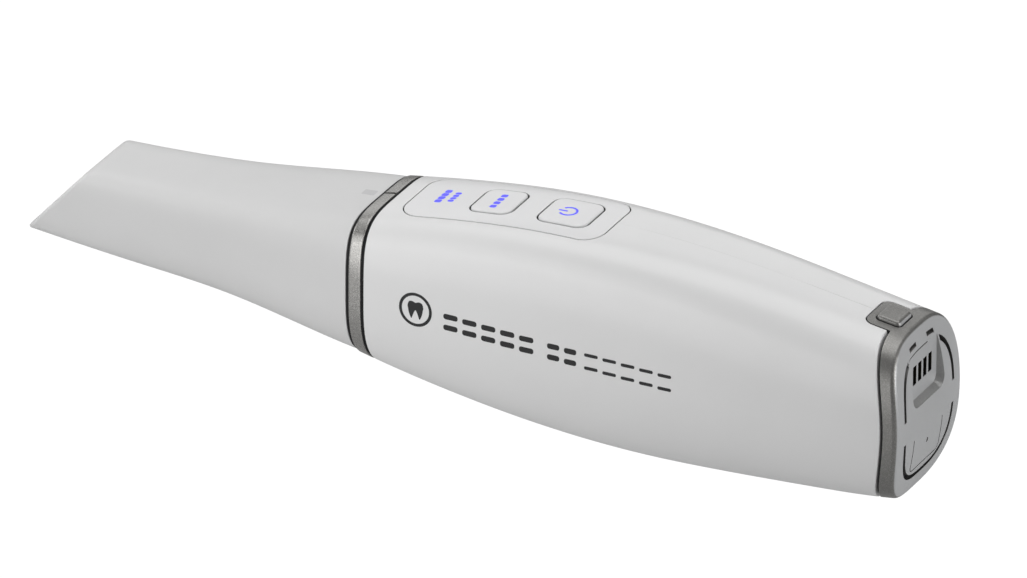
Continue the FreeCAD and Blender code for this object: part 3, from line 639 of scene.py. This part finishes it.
def glowing(name, colour, strength):
    """A lit legend: dark blue ink with a nearly even glow."""
    s = Surface(name)
    dark, light = shades(colour, 0.12)
    tone = s.mix(s.span(s.noise(900), 0, 1), dark, light)
    ink = s.mix(s.span(s.noise(700), 0, 1), (0.01, 0.01, 0.1), (0.02, 0.02, 0.16))
    s.link(ink, s.shader.inputs["Base Color"])
    s.link(tone, s.shader.inputs["Emission Color"])
    s.link(s.span(s.noise(500), 0.3, 0.42), s.shader.inputs["Roughness"])
    s.set(Emission_Strength=strength)
    return s.material


MATERIALS = {
    "tip_plastic": moulded("tip_plastic", (0.63, 0.63, 0.63), 0.42, grain=(2800, 0.000014)),
    "body_plastic": moulded("body_plastic", (0.72, 0.72, 0.72), 0.32, 0.12, spread=0.012),
    "panel_plastic": moulded("panel_plastic", (0.73, 0.73, 0.735), 0.34, 0.1, spread=0.012),
    "key_plastic": moulded("key_plastic", (0.73, 0.73, 0.735), 0.32, 0.1, spread=0.012),
    "black_rubber": moulded("black_rubber", (0.008, 0.008, 0.009), 0.65, grain=(1500, 0.00002), shine=0.25),
    "black_plastic": moulded("black_plastic", (0.03, 0.03, 0.033), 0.5, grain=(1800, 0.00002)),
    "grey_plastic": moulded("grey_plastic", (0.22, 0.225, 0.235), 0.5, grain=(1800, 0.00002)),
    "chip_black": moulded("chip_black", (0.025, 0.025, 0.028), 0.45, grain=(3000, 0.00001)),
    "amber_flex": moulded("amber_flex", (0.52, 0.24, 0.04), 0.3, 0.3, grain=(900, 0.00001)),
    "cell_wrap": moulded("cell_wrap", (0.06, 0.26, 0.36), 0.28, 0.4, grain=(700, 0.00001)),
    "collar_metal": flaked("collar_metal", (0.30, 0.295, 0.285), 0.32),
    "cap_metal": flaked("cap_metal", (0.205, 0.202, 0.194), 0.38, 0.75, rear_finish_and_light_colour=(0.42, 0.425, 0.43)),
    "anodised_black": metal("anodised_black", (0.03, 0.03, 0.034), 0.38, (0.2, 1, 1)),
    "bare_aluminium": metal("bare_aluminium", (0.72, 0.73, 0.74), 0.32, (0.1, 1, 1)),
    "steel": metal("steel", (0.56, 0.56, 0.55), 0.3, (0.15, 1, 1)),
    "gold_contact": metal("gold_contact", (0.83, 0.58, 0.2), 0.22, (1, 1, 0.3)),
    "mirror_glass": metal("mirror_glass", (0.92, 0.93, 0.94), 0.09, scale=200),
    "circuit_board": board("circuit_board"),
    "optical_glass": glass("optical_glass", (0.86, 0.93, 0.95)),
    "status_clear": glowing("status_clear", (0.07, 0.07, 1.0), 0.9),
}
INK = moulded("side_ink", (0.018, 0.018, 0.019), 0.5, grain=(3000, 0.000005), shine=0.3)
# a little darker than the tip: painted shade of a shallow embossed rectangle
PAINTED_EMBOSS_SHADE = moulded("painted_emboss_shade", (0.52, 0.52, 0.525), 0.4, grain=(3000, 0.000005))


def dress(piece, slot, body, *nodes, material=None):
    """Gives a finished piece its material, from its slot unless one is given, and its body, and hides the
    CAD nodes that it stands for.
    """
    piece.data.materials.clear()
    piece.data.materials.append(material or MATERIALS[slot])
    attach(piece, body)
    if nodes:
        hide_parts(*nodes)
    return piece


def dress_frame():
    """Every CAD node gets the procedural material of its own slot."""
    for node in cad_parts.values():
        slot = node.data.materials[0].name.split(".")[0]
        for place in node.material_slots:
            place.material = MATERIALS[slot]


# ---------------------------------------------------------------- tip
def face_x(z, depth=0.0):
    """Where the slanted face, moved inwards by depth, is at height z."""
    return FACE_TOP[0] + (z - FACE_TOP[1]) / FACE_SLOPE + depth * math.hypot(1, 1 / FACE_SLOPE)


def tip_rings(angles, inset, depth, rear, rows):
    """Rings from the slanted face back to rear, moved inwards by inset and depth."""
    start = np.full(len(angles), -80.0)
    for _ in range(12):
        start = face_x(TIP.around(start, angles, inset)[:, 2], depth)
    rings = []
    for k in range(rows + 1):
        x = start + (rear - start) * k / rows
        rings.append(TIP.around(x, angles, inset))
    return rings


def rounded_front(rings, radius, steps=6):
    """The first ring's edge rounded over onto the slanted face, then the flat face itself."""
    edge = rings[0]
    back = rings[1] - edge
    back /= np.linalg.norm(back, axis=1, keepdims=True)
    along = np.roll(edge, -1, axis=0) - np.roll(edge, 1, axis=0)
    length = math.hypot(1, FACE_SLOPE)
    face_normal = np.array((-FACE_SLOPE / length, 0, 1 / length))
    inward = np.cross(along, face_normal)
    inward /= np.linalg.norm(inward, axis=1, keepdims=True)
    middle = edge.mean(axis=0)
    inward *= np.sign(((middle - edge) * inward).sum(1, keepdims=True))
    rounded = []
    for k in range(steps + 1):
        t = k / steps
        on_face = edge + inward * radius
        on_side = edge + back * radius
        rounded.append((1 - t) ** 2 * on_face + 2 * t * (1 - t) * edge + t * t * on_side)
    flat = [middle + (rounded[0] - middle) * share for share in (0.06, 0.35, 0.65, 0.85)]
    return flat + rounded


def make_tip():
    """The one-piece tip: outside, rounded slanted face, cavity and light window."""
    angles = TIP.even_angles(-50, 0, 2 * math.pi, 193)[:-1]
    rings = tip_rings(angles, 0.0, 0.0, TIP_REAR, TIP_ROWS)
    rounded_end = ((0.18, 0.0), (0.05, 0.05), (0.0, 0.18))
    rim = [TIP.around(TIP_REAR - back, angles, inset) for back, inset in rounded_end]
    while rings[1][:, 0].min() < rings[0][:, 0].min() + FACE_ROUNDING:
        del rings[1]
    outside = rounded_front(rings, FACE_ROUNDING) + rings[1:-1] + rim
    tip = mesh_piece("scan_tip", *ring_solid(outside))
    cavity = tip_rings(angles[::2], TIP_WALL, TIP_WALL, 1.5, 50)
    boolean(tip, mesh_piece("cutter", *ring_solid(cavity)))
    rings = []
    for grow, z in ((1.2, -20.0), (1.0, -8.8), (0.35, -7.9), (0.0, -7.2), (0.0, -3.5)):
        edge = rounded_rect(*WINDOW, grow)
        rings.append(np.column_stack([edge, np.full(len(edge), z)]))
    boolean(tip, mesh_piece("cutter", *ring_solid(rings)))
    shade(tip, TIP)
    return dress(tip, "tip_plastic", "tip", "tip_shell")


# ---------------------------------------------------------------- collar
def make_collar():
    """The proud metallic ring between tip and body, with an alignment notch on top."""
    low = COLLAR_FRONT
    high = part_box("collar_ring")[1].x / MM
    bevel = quarter(COLLAR_BEVEL)
    angles = BODY.even_angles(2, 0, 2 * math.pi, 289)[:-1]
    profile = [(low, COLLAR_DEPTH), (low, 1.2)]
    profile += [(low + inward, down - COLLAR_PROUD) for inward, down in bevel]
    profile += [(low + (high - low) * k / 6, -COLLAR_PROUD) for k in range(1, 6)]
    profile += [(high - inward, down - COLLAR_PROUD) for inward, down in reversed(bevel)]
    profile += [(high, 1.2), (high, COLLAR_DEPTH)]
    rows = [BODY.around(x, angles, inset) for x, inset in profile]
    ring = mesh_piece("metal_collar", *loop_solid(rows))
    top = BODY.section(np.array(2.0))[1]
    corners = ((-0.4, top - NOTCH_DEPTH), (0.4, top - NOTCH_DEPTH), (0.7, top + 3), (-0.7, top + 3))
    notch = [np.array([(x, y, z) for y, z in corners]) for x in (low - 1, high + 1)]
    boolean(ring, mesh_piece("cutter", *ring_solid(notch)))
    shade(ring)
    return dress(ring, "collar_metal", "housing", "collar_ring")


def make_front_seal():
    """The black seal between the tip and the collar."""
    angles = BODY.even_angles(2, 0, 2 * math.pi, 193)[:-1]
    low = TIP_REAR + 0.05
    high = COLLAR_FRONT
    corners = ((low, SEAL_INSET), (high, SEAL_INSET), (high, COLLAR_DEPTH), (low, COLLAR_DEPTH))
    rows = [BODY.around(x, angles, inset) for x, inset in corners]
    seal = mesh_piece("front_seal", *loop_solid(rows))
    shade(seal)
    dress(seal, "black_rubber", "housing", "collar_front_gasket")


# ---------------------------------------------------------------- body shells
def shell_rear(angles, inset):
    """Where the shells end: on a cylinder along Y, so the edge is a curve in the side view."""
    x = np.full(angles.shape, 130.0)
    for _ in range(15):
        z = BODY.around(x, angles, inset)[..., 2]
        x = DOME_X + np.sqrt(SHELL_EDGE_R ** 2 - (z - DOME_Z) ** 2)
    return x


def seam_chamfer(x):
    """Half width of the seam's chamfer: hairline behind the keypad, wider towards the rear."""
    return np.interp(x, (60, 100, 116, 128), (0.035, 0.05, 0.1, 0.1))


def half_shell(name, side, node):
    """One half of the body shell, split at y = 0, with rounded rims and a fine seam chamfer."""
    start = -math.pi / 2 if side > 0 else math.pi / 2
    even = BODY.even_angles(60, start, start + math.pi, 101)[1:-1]
    angles = np.concatenate([[start, start], even, [start + math.pi] * 2])
    rear = shell_rear(angles, 0.0)
    x_rows = []
    inset_rows = []
    for inward, down in quarter(RIM, 3):
        x_rows.append(np.full(len(angles), SHELL_FRONT + inward))
        inset_rows.append(down)
    front = SHELL_FRONT + RIM
    for k in range(1, SHELL_ROWS):
        x_rows.append(front + (rear - RIM - front) * k / SHELL_ROWS)
        inset_rows.append(0.0)
    for inward, down in reversed(quarter(RIM, 3)):
        x_rows.append(rear - inward)
        inset_rows.append(down)
    x = np.array(x_rows)
    inset = np.repeat(np.array(inset_rows)[:, None], len(angles), axis=1)
    chamfer = seam_chamfer(x[:, 0])
    turn = np.repeat(angles[None, :], len(x), axis=0)
    typical_radius = 18.5
    chamfer_turn = chamfer / typical_radius
    turn[:, 1] += chamfer_turn
    turn[:, -2] -= chamfer_turn
    inset[:, 0] += chamfer
    inset[:, -1] += chamfer
    outer = BODY.around(x, turn, inset)
    inner_rear = shell_rear(angles, WALL)
    share = np.linspace(0, 1, len(x))[:, None]
    inner_x = SHELL_FRONT + (inner_rear[None, :] - SHELL_FRONT) * share
    inner = BODY.around(inner_x, np.repeat(angles[None, :], len(x), axis=0), WALL)
    inner[:, (0, 1), 1] = 0
    inner[:, (-2, -1), 1] = 0
    inner[:, 1] = (inner[:, 0] + inner[:, 2]) / 2
    inner[:, -2] = (inner[:, -1] + inner[:, -3]) / 2
    shell = mesh_piece(name, *plate_solid(outer, inner))
    for outline, groove in ((panel_outline, PANEL_GROOVE), (tab_outline, TAB_GROOVE)):
        boolean(shell, well(lambda grow: outline(groove + grow), OPENING_LIP, OPENING_DEPTH))
    shade(shell, BODY)
    return dress(shell, "body_plastic", "housing", node)


# ---------------------------------------------------------------- keypad
def node_span(node, margin=0.0):
    """Along and across extent of a CAD node, in millimetres: (x low, x high), half width."""
    low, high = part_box(node)
    return (low.x / MM + margin, high.x / MM - margin), high.y / MM - margin


def panel_outline(grow=0.0):
    along, across = node_span("keypad_panel")
    return rounded_rect(along, across, 5.0, grow)


def tab_outline(grow=0.0):
    front, half_width, radius = TAB
    beyond_rear = 150.0
    return rounded_rect((front, beyond_rear), half_width, radius, grow)


def button_outline(node, grow=0.0):
    along, across = node_span(node, BUTTON_FLANGE)
    return rounded_rect(along, across, 2.6, grow)


def flat_ring(outline, inner, outer, upper, lower):
    """A thin ring between two sizes of an outline and two heights above the body's surface."""
    corners = ((inner, upper), (outer, upper), (outer, lower), (inner, lower))
    return loop_solid([lifted_ring(outline(grow), lift) for grow, lift in corners])


def gap_shade_ring(outline, groove):
    """A black strip in the groove round an outline, a little below the surface: painted shade in the gap.
    """
    return flat_ring(outline, SLACK, groove - SLACK, -GAP_SHADE_DEPTH, -GAP_SHADE_DEPTH - GAP_SHADE_THICKNESS)


def make_keypad():
    """The flush keypad panel and its two buttons."""
    panel = pad("keypad", panel_outline, proud=0.0, rounding=0.12, depth=1.4, inner_rings=16)
    # black strips in the gaps round the panel and its buttons: painted shade
    gap_shades = [gap_shade_ring(panel_outline, PANEL_GROOVE)]
    buttons = (("mode_button", "mode_key_cap", "mode_key"), ("power_button", "power_key_cap", "power_key"))
    for node, name, body in buttons:
        outline = partial(button_outline, node)
        boolean(panel, well(lambda grow: outline(BUTTON_GROOVE + grow), lip=0.1, depth=4.0))
        gap_shades.append(gap_shade_ring(outline, BUTTON_GROOVE))
        button = pad(name, outline, proud=BUTTON_PROUD, rounding=0.4, depth=2.4, dish=BUTTON_DISH)
        shade(button, crease=50)
        dress(button, "key_plastic", body, node)
    shade(panel, BODY)
    dress(panel, "panel_plastic", "housing", "keypad_panel")
    # one piece of black strips: painted shade in the panel's and buttons' gaps
    seal = mesh_piece("keypad_gap_shade", *joined(gap_shades))
    shade(seal)
    dress(seal, "black_rubber", "housing")


def make_tab_gap_shade():
    """The black strip in the gap round the end cap's tab, open towards the rear: painted shade in that gap.
    """
    rows = []
    for grow in (SLACK, TAB_GROOVE - SLACK):
        edge = tab_outline(grow)
        edge = edge[edge[:, 0] < REAR_X - TAB_SHADE_END]
        rows.append(lifted_ring(edge, -GAP_SHADE_DEPTH))
    upper = np.stack(rows, 1)
    lower = upper - (0, 0, GAP_SHADE_THICKNESS)
    # black strip a little below the surface: painted shade in the gap round the tab
    seal = mesh_piece("tab_gap_shade", *plate_solid(upper, lower))
    shade(seal)
    dress(seal, "black_rubber", "housing")


def make_release_button():
    """The raised release button on the end cap's tab, and the black lip round it, partly a rubber lip and
    partly painted shade at the button's base.
    """
    low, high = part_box("release_button")
    along = (low.x / MM, high.x / MM)

    def edge(grow):
        return rounded_rect(along, high.y / MM, 1.0, grow)

    # the black lip is partly a rubber lip, partly painted shade round the button's base
    lip = mesh_piece("release_lip_and_shade", *flat_ring(edge, SLACK, LIP_WIDTH, LIP_HEIGHT, -LIP_DEPTH))
    shade(lip)
    dress(lip, "black_rubber", "battery_pack")
    button = pad("release_key", edge, proud=1.0, rounding=0.7, depth=2.2, dish=BUTTON_DISH)
    shade(button, crease=50)
    dress(button, "cap_metal", "latch", "release_button")


def make_spring():
    """The latch's return spring, built at rest in a mesh of its own; the real one shortens as the release
    button is pressed.
    """
    low, high = (np.array(v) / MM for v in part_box("latch_spring"))
    radius = (high[1] - low[1]) / 2 - SPRING_WIRE
    tall = high[2] - low[2]
    rise = tall - 2 * SPRING_WIRE
    middle = (low + high) / 2
    up = np.array((0, 0, 1))
    round_wire = np.linspace(0, 2 * math.pi, 13)[:-1]
    whole_turn = 2 * math.pi * SPRING_TURNS
    rings = []
    for turn in np.linspace(0, whole_turn, 32 * SPRING_TURNS + 1):
        outward = np.array((math.cos(turn), math.sin(turn), 0))
        centre = middle + radius * outward
        centre[2] = low[2] + SPRING_WIRE + rise * turn / whole_turn
        ring = [centre + SPRING_WIRE * (math.cos(a) * outward + math.sin(a) * up) for a in round_wire]
        rings.append(np.array(ring))
    spring = mesh_piece("release_spring", *ring_solid(rings))
    shade(spring, crease=50)
    dress(spring, "steel", "battery_pack", "latch_spring")
    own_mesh(spring)


# ---------------------------------------------------------------- printed marks
def bar_patch(x, y, radius, columns=14, rows=3):
    """A rounded bar as a grid of flat coordinates."""
    turn = np.linspace(0, math.pi, columns)
    along = (x[0] + x[1]) / 2 - (x[1] - x[0]) / 2 * np.cos(turn)
    near_end = np.minimum(along - x[0], x[1] - along)
    cut = np.clip(radius - near_end, 0, radius)
    half = (y[1] - y[0]) / 2 - radius + np.sqrt(radius ** 2 - cut ** 2)
    half = np.maximum(half, 0.02)
    across = np.linspace(-1, 1, rows)
    middle = (y[0] + y[1]) / 2
    return np.stack([np.repeat(along[:, None], rows, 1), middle + half[:, None] * across], -1)


def arc_patch(centre, inner, outer, start, stop, steps=48):
    """Part of a ring, or a whole one, as a grid of flat coordinates."""
    angle = np.radians(np.linspace(start, stop, steps + 1))
    if stop - start == 360:
        angle = angle[:-1]
    radius = np.array([inner, (inner + outer) / 2, outer])
    u = centre[0] + radius * np.cos(angle)[:, None]
    v = centre[1] + radius * np.sin(angle)[:, None]
    return np.stack([u, v], -1)


def printed(name, patches, place, form, lift, material, slot, body, *nodes):
    """Thin raised marks laid on a form; place turns flat coordinates into points on it.

    Each patch comes with a flag that says whether its grid closes on itself.
    """
    parts = []
    for patch, closed in patches:
        points = place(patch[..., 0], patch[..., 1])
        outward = form.normal(points)
        parts.append(plate_solid(points + outward * lift, points - outward * INK_DEPTH, closed))
    piece = mesh_piece(name, *joined(parts))
    shade(piece, crease=40)
    return dress(piece, slot, body, *nodes, material=material)


def tooth_patches(centre, size):
    """A plain tooth: a rounded crown and two tapering roots."""
    u = np.linspace(-1, 1, 17)
    crown_top = 0.62 + 0.30 * np.sqrt(1 - u ** 4) - 0.14 * np.exp(-(u / 0.3) ** 2)
    waist = np.full(len(u), -0.05)
    levels = ((0.82, waist), (0.9, (waist + crown_top) / 2), (0.84, crown_top))
    patches = [np.stack([np.stack([u * width, height], -1) for width, height in levels], 1)]
    for side in (-1, 1):
        t = np.linspace(0, 1, 9)
        outer_edge = 0.82 - 0.30 * t ** 1.5
        inner_edge = 0.42 * t ** 0.7
        height = -0.05 - 0.95 * t
        left = np.stack([side * inner_edge, height], -1)
        right = np.stack([side * outer_edge, height], -1)
        patches.append(np.stack([left, (left + right) / 2, right], 1))
    return [(np.array(centre) + patch * size, False) for patch in patches]


def make_side_marks():
    """A plain ring round a tooth, and three groups of paired plain bars, on the near flank."""
    centre = (18.5, 1.2)
    patches = [(arc_patch(centre, 3.55, 4.3, 0, 360), True)]
    patches += tooth_patches(centre, 2.3)
    gap = 1.2
    tall = 4.2
    groups = ((25.8, 49.2, 5, 1.4), (52.7, 60.2, 2, 1.4), (62.2, 84.4, 5, 0.85))
    ends = (groups[0][0], groups[-1][1])
    for start, stop, count, thick in groups:
        pitch = (stop - start + gap) / count
        for k in range(count):
            x0 = start + pitch * k
            middle = np.interp(x0, ends, (-0.1, -3.1))
            for low in (middle - tall / 2, middle + tall / 2 - thick):
                bar = bar_patch((x0, x0 + pitch - gap), (low, low + thick), thick * 0.4)
                patches.append((bar, False))
    printed("side_mark", patches, BODY.side_at, BODY, INK_LIFT, INK, "black_plastic", "housing")


def make_legends():
    """Lit status rows on the panel, a row of dashes on one button and a power symbol on the other."""
    rows = []
    lights = 4
    for x, half in (((15.4, 17.1), 3.7), ((18.4, 19.9), 2.8)):
        pitch = 2 * half / lights
        for k in range(lights):
            y0 = -half + pitch * k
            rows.append((bar_patch(x, (y0 + 0.1, y0 + pitch - 0.1), 0.5), False))

    def on_button(u, v):
        points = BODY.top_at(u, v)
        points[..., 2] += BUTTON_PROUD - BUTTON_DISH
        return points

    slot = "status_clear"
    lit = MATERIALS[slot]
    printed("status_lights", rows, BODY.top_at, BODY, LIGHT_LIFT, lit, slot, "housing", "status_lenses")
    dashes = []
    pitch = 2.0
    for k in range(4):
        y0 = -3.9 + pitch * k
        dashes.append((bar_patch((29.9, 31.5), (y0, y0 + 1.5), 0.45), False))
    printed("mode_legend", dashes, on_button, BODY, LEGEND_LIFT, lit, slot, "mode_key")
    centre = (48.6, 0.0)
    power = [(arc_patch(centre, 1.75, 2.3, -140, 140), False)]
    power.append((bar_patch((centre[0] - 2.5, centre[0] - 0.2), (-0.28, 0.28), 0.2), False))
    printed("power_legend", power, on_button, BODY, LEGEND_LIFT, lit, slot, "power_key")


def make_tip_mark():
    """A faint alignment mark on top of the tip, just ahead of the collar: a shallow embossed rectangle
    whose shade is painted as a slightly darker patch.
    """
    patch = bar_patch((-4.6, -1.3), (-1.3, 1.3), 0.25)
    printed("tip_mark", [(patch, False)], TIP.top_at, TIP, INK_LIFT, PAINTED_EMBOSS_SHADE, "tip_plastic", "tip")


# ---------------------------------------------------------------- studio
TARGET = Vector((0.027, 0.0, -0.0075))
AZIMUTH = math.radians(26.6)
ELEVATION = math.radians(26.35)
ROLL = math.radians(0.3)
DISTANCE = 3.952
LENS = 597.1                  # on a sensor 36 mm wide
ASIDE = (0.00673, 0.00696)    # how far right of and above the target the view is centred
MIDDLE = (0.027, 0.0, -0.005)     # what a light aims at, unless it says otherwise
FLOOR_HALF = 9000.0
FLOOR_DROP = 0.09             # how far below the object the floor lies, in metres


def make_camera():
    """A long lens on the near side, turned towards the rear end and above it."""
    level = math.cos(ELEVATION)
    back = Vector((math.sin(AZIMUTH) * level, -math.cos(AZIMUTH) * level, math.sin(ELEVATION)))
    right = Vector((math.cos(AZIMUTH), math.sin(AZIMUTH), 0))
    up = back.cross(right)
    rolled_right = math.cos(ROLL) * right + math.sin(ROLL) * up
    rolled_up = math.cos(ROLL) * up - math.sin(ROLL) * right
    data = bpy.data.cameras.new("camera")
    data.lens = LENS
    data.sensor_width = 36
    data.clip_end = 20
    camera = bpy.data.objects.new("camera", data)
    place = TARGET + rolled_right * ASIDE[0] + rolled_up * ASIDE[1] + back * DISTANCE
    turned = Matrix((rolled_right, rolled_up, back)).transposed().to_4x4()
    camera.matrix_world = Matrix.Translation(place) @ turned
    bpy.context.scene.collection.objects.link(camera)
    bpy.context.scene.camera = camera


def area_light(name, place, size, power, aim=MIDDLE):
    """A white rectangular light of so many watts, turned towards a point."""
    data = bpy.data.lights.new(name, "AREA")
    data.shape = "RECTANGLE"
    data.size, data.size_y = size
    data.energy = power
    light = bpy.data.objects.new(name, data)
    light.location = place
    light.rotation_mode = "QUATERNION"
    light.rotation_quaternion = (Vector(place) - Vector(aim)).to_track_quat("Z", "Y")
    bpy.context.scene.collection.objects.link(light)


def make_studio():
    """White surroundings, a white floor below the object and large soft lights."""
    scene = bpy.context.scene
    scene.view_settings.view_transform = "Standard"
    world = bpy.data.worlds.new("studio")
    world.use_nodes = True
    background = world.node_tree.nodes["Background"]
    background.inputs["Color"].default_value = (1, 1, 1, 1)
    background.inputs["Strength"].default_value = 0.2
    scene.world = world
    corners = [(FLOOR_HALF * x, FLOOR_HALF * y, 0) for x, y in ((-1, -1), (1, -1), (1, 1), (-1, 1))]
    floor = mesh_piece("floor", corners, [(0, 1, 2, 3)])
    floor.location.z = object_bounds()[0].z - FLOOR_DROP
    floor.data.materials.append(floor_paint())
    area_light("overhead", (-0.1, 0.3, 1.3), (1.6, 1.2), 10.5)
    area_light("front", (-0.9, -0.15, 0.45), (0.5, 0.5), 3, (-0.06, 0, 0))
    area_light("front_left", (-0.35, -0.65, 0.3), (0.5, 0.4), 1.0)
    area_light("near_side", (-0.04, -0.26, 0.0), (0.22, 0.18), 0.28, (-0.02, 0, 0))
    area_light("back_left", (-0.45, 0.9, 0.5), (0.9, 0.5), 1.5)
    area_light("rear_end", (0.7, 0.0, 0.15), (0.4, 0.4), 2.2, (0.14, 0, 0))


def floor_paint():
    """A floor that the camera sees as even white and that lights the object as pale grey paint."""
    s = Surface("floor_paint")
    tone = s.mix(s.span(s.noise(3), 0, 1), (0.40, 0.40, 0.40), (0.42, 0.42, 0.42))
    s.link(tone, s.shader.inputs["Base Color"])
    s.set(Roughness=0.9)
    glow = s.tree.nodes.new("ShaderNodeEmission")
    glow.inputs["Color"].default_value = (1, 1, 1, 1)
    glow.inputs["Strength"].default_value = 1.05
    path = s.tree.nodes.new("ShaderNodeLightPath")
    choose = s.tree.nodes.new("ShaderNodeMixShader")
    s.link(path.outputs["Is Camera Ray"], choose.inputs["Fac"])
    s.link(s.shader.outputs["BSDF"], choose.inputs[1])
    s.link(glow.outputs["Emission"], choose.inputs[2])
    s.link(choose.outputs["Shader"], s.tree.nodes["Material Output"].inputs["Surface"])
    return s.material


# ---------------------------------------------------------------- build
make_camera()
dress_frame()
make_tip()
make_collar()
make_front_seal()
half_shell("shell_left", 1, "body_shell_left")
half_shell("shell_right", -1, "body_shell_right")
make_keypad()
make_tab_gap_shade()
make_release_button()
make_spring()
make_side_marks()
make_legends()
make_tip_mark()
make_studio()
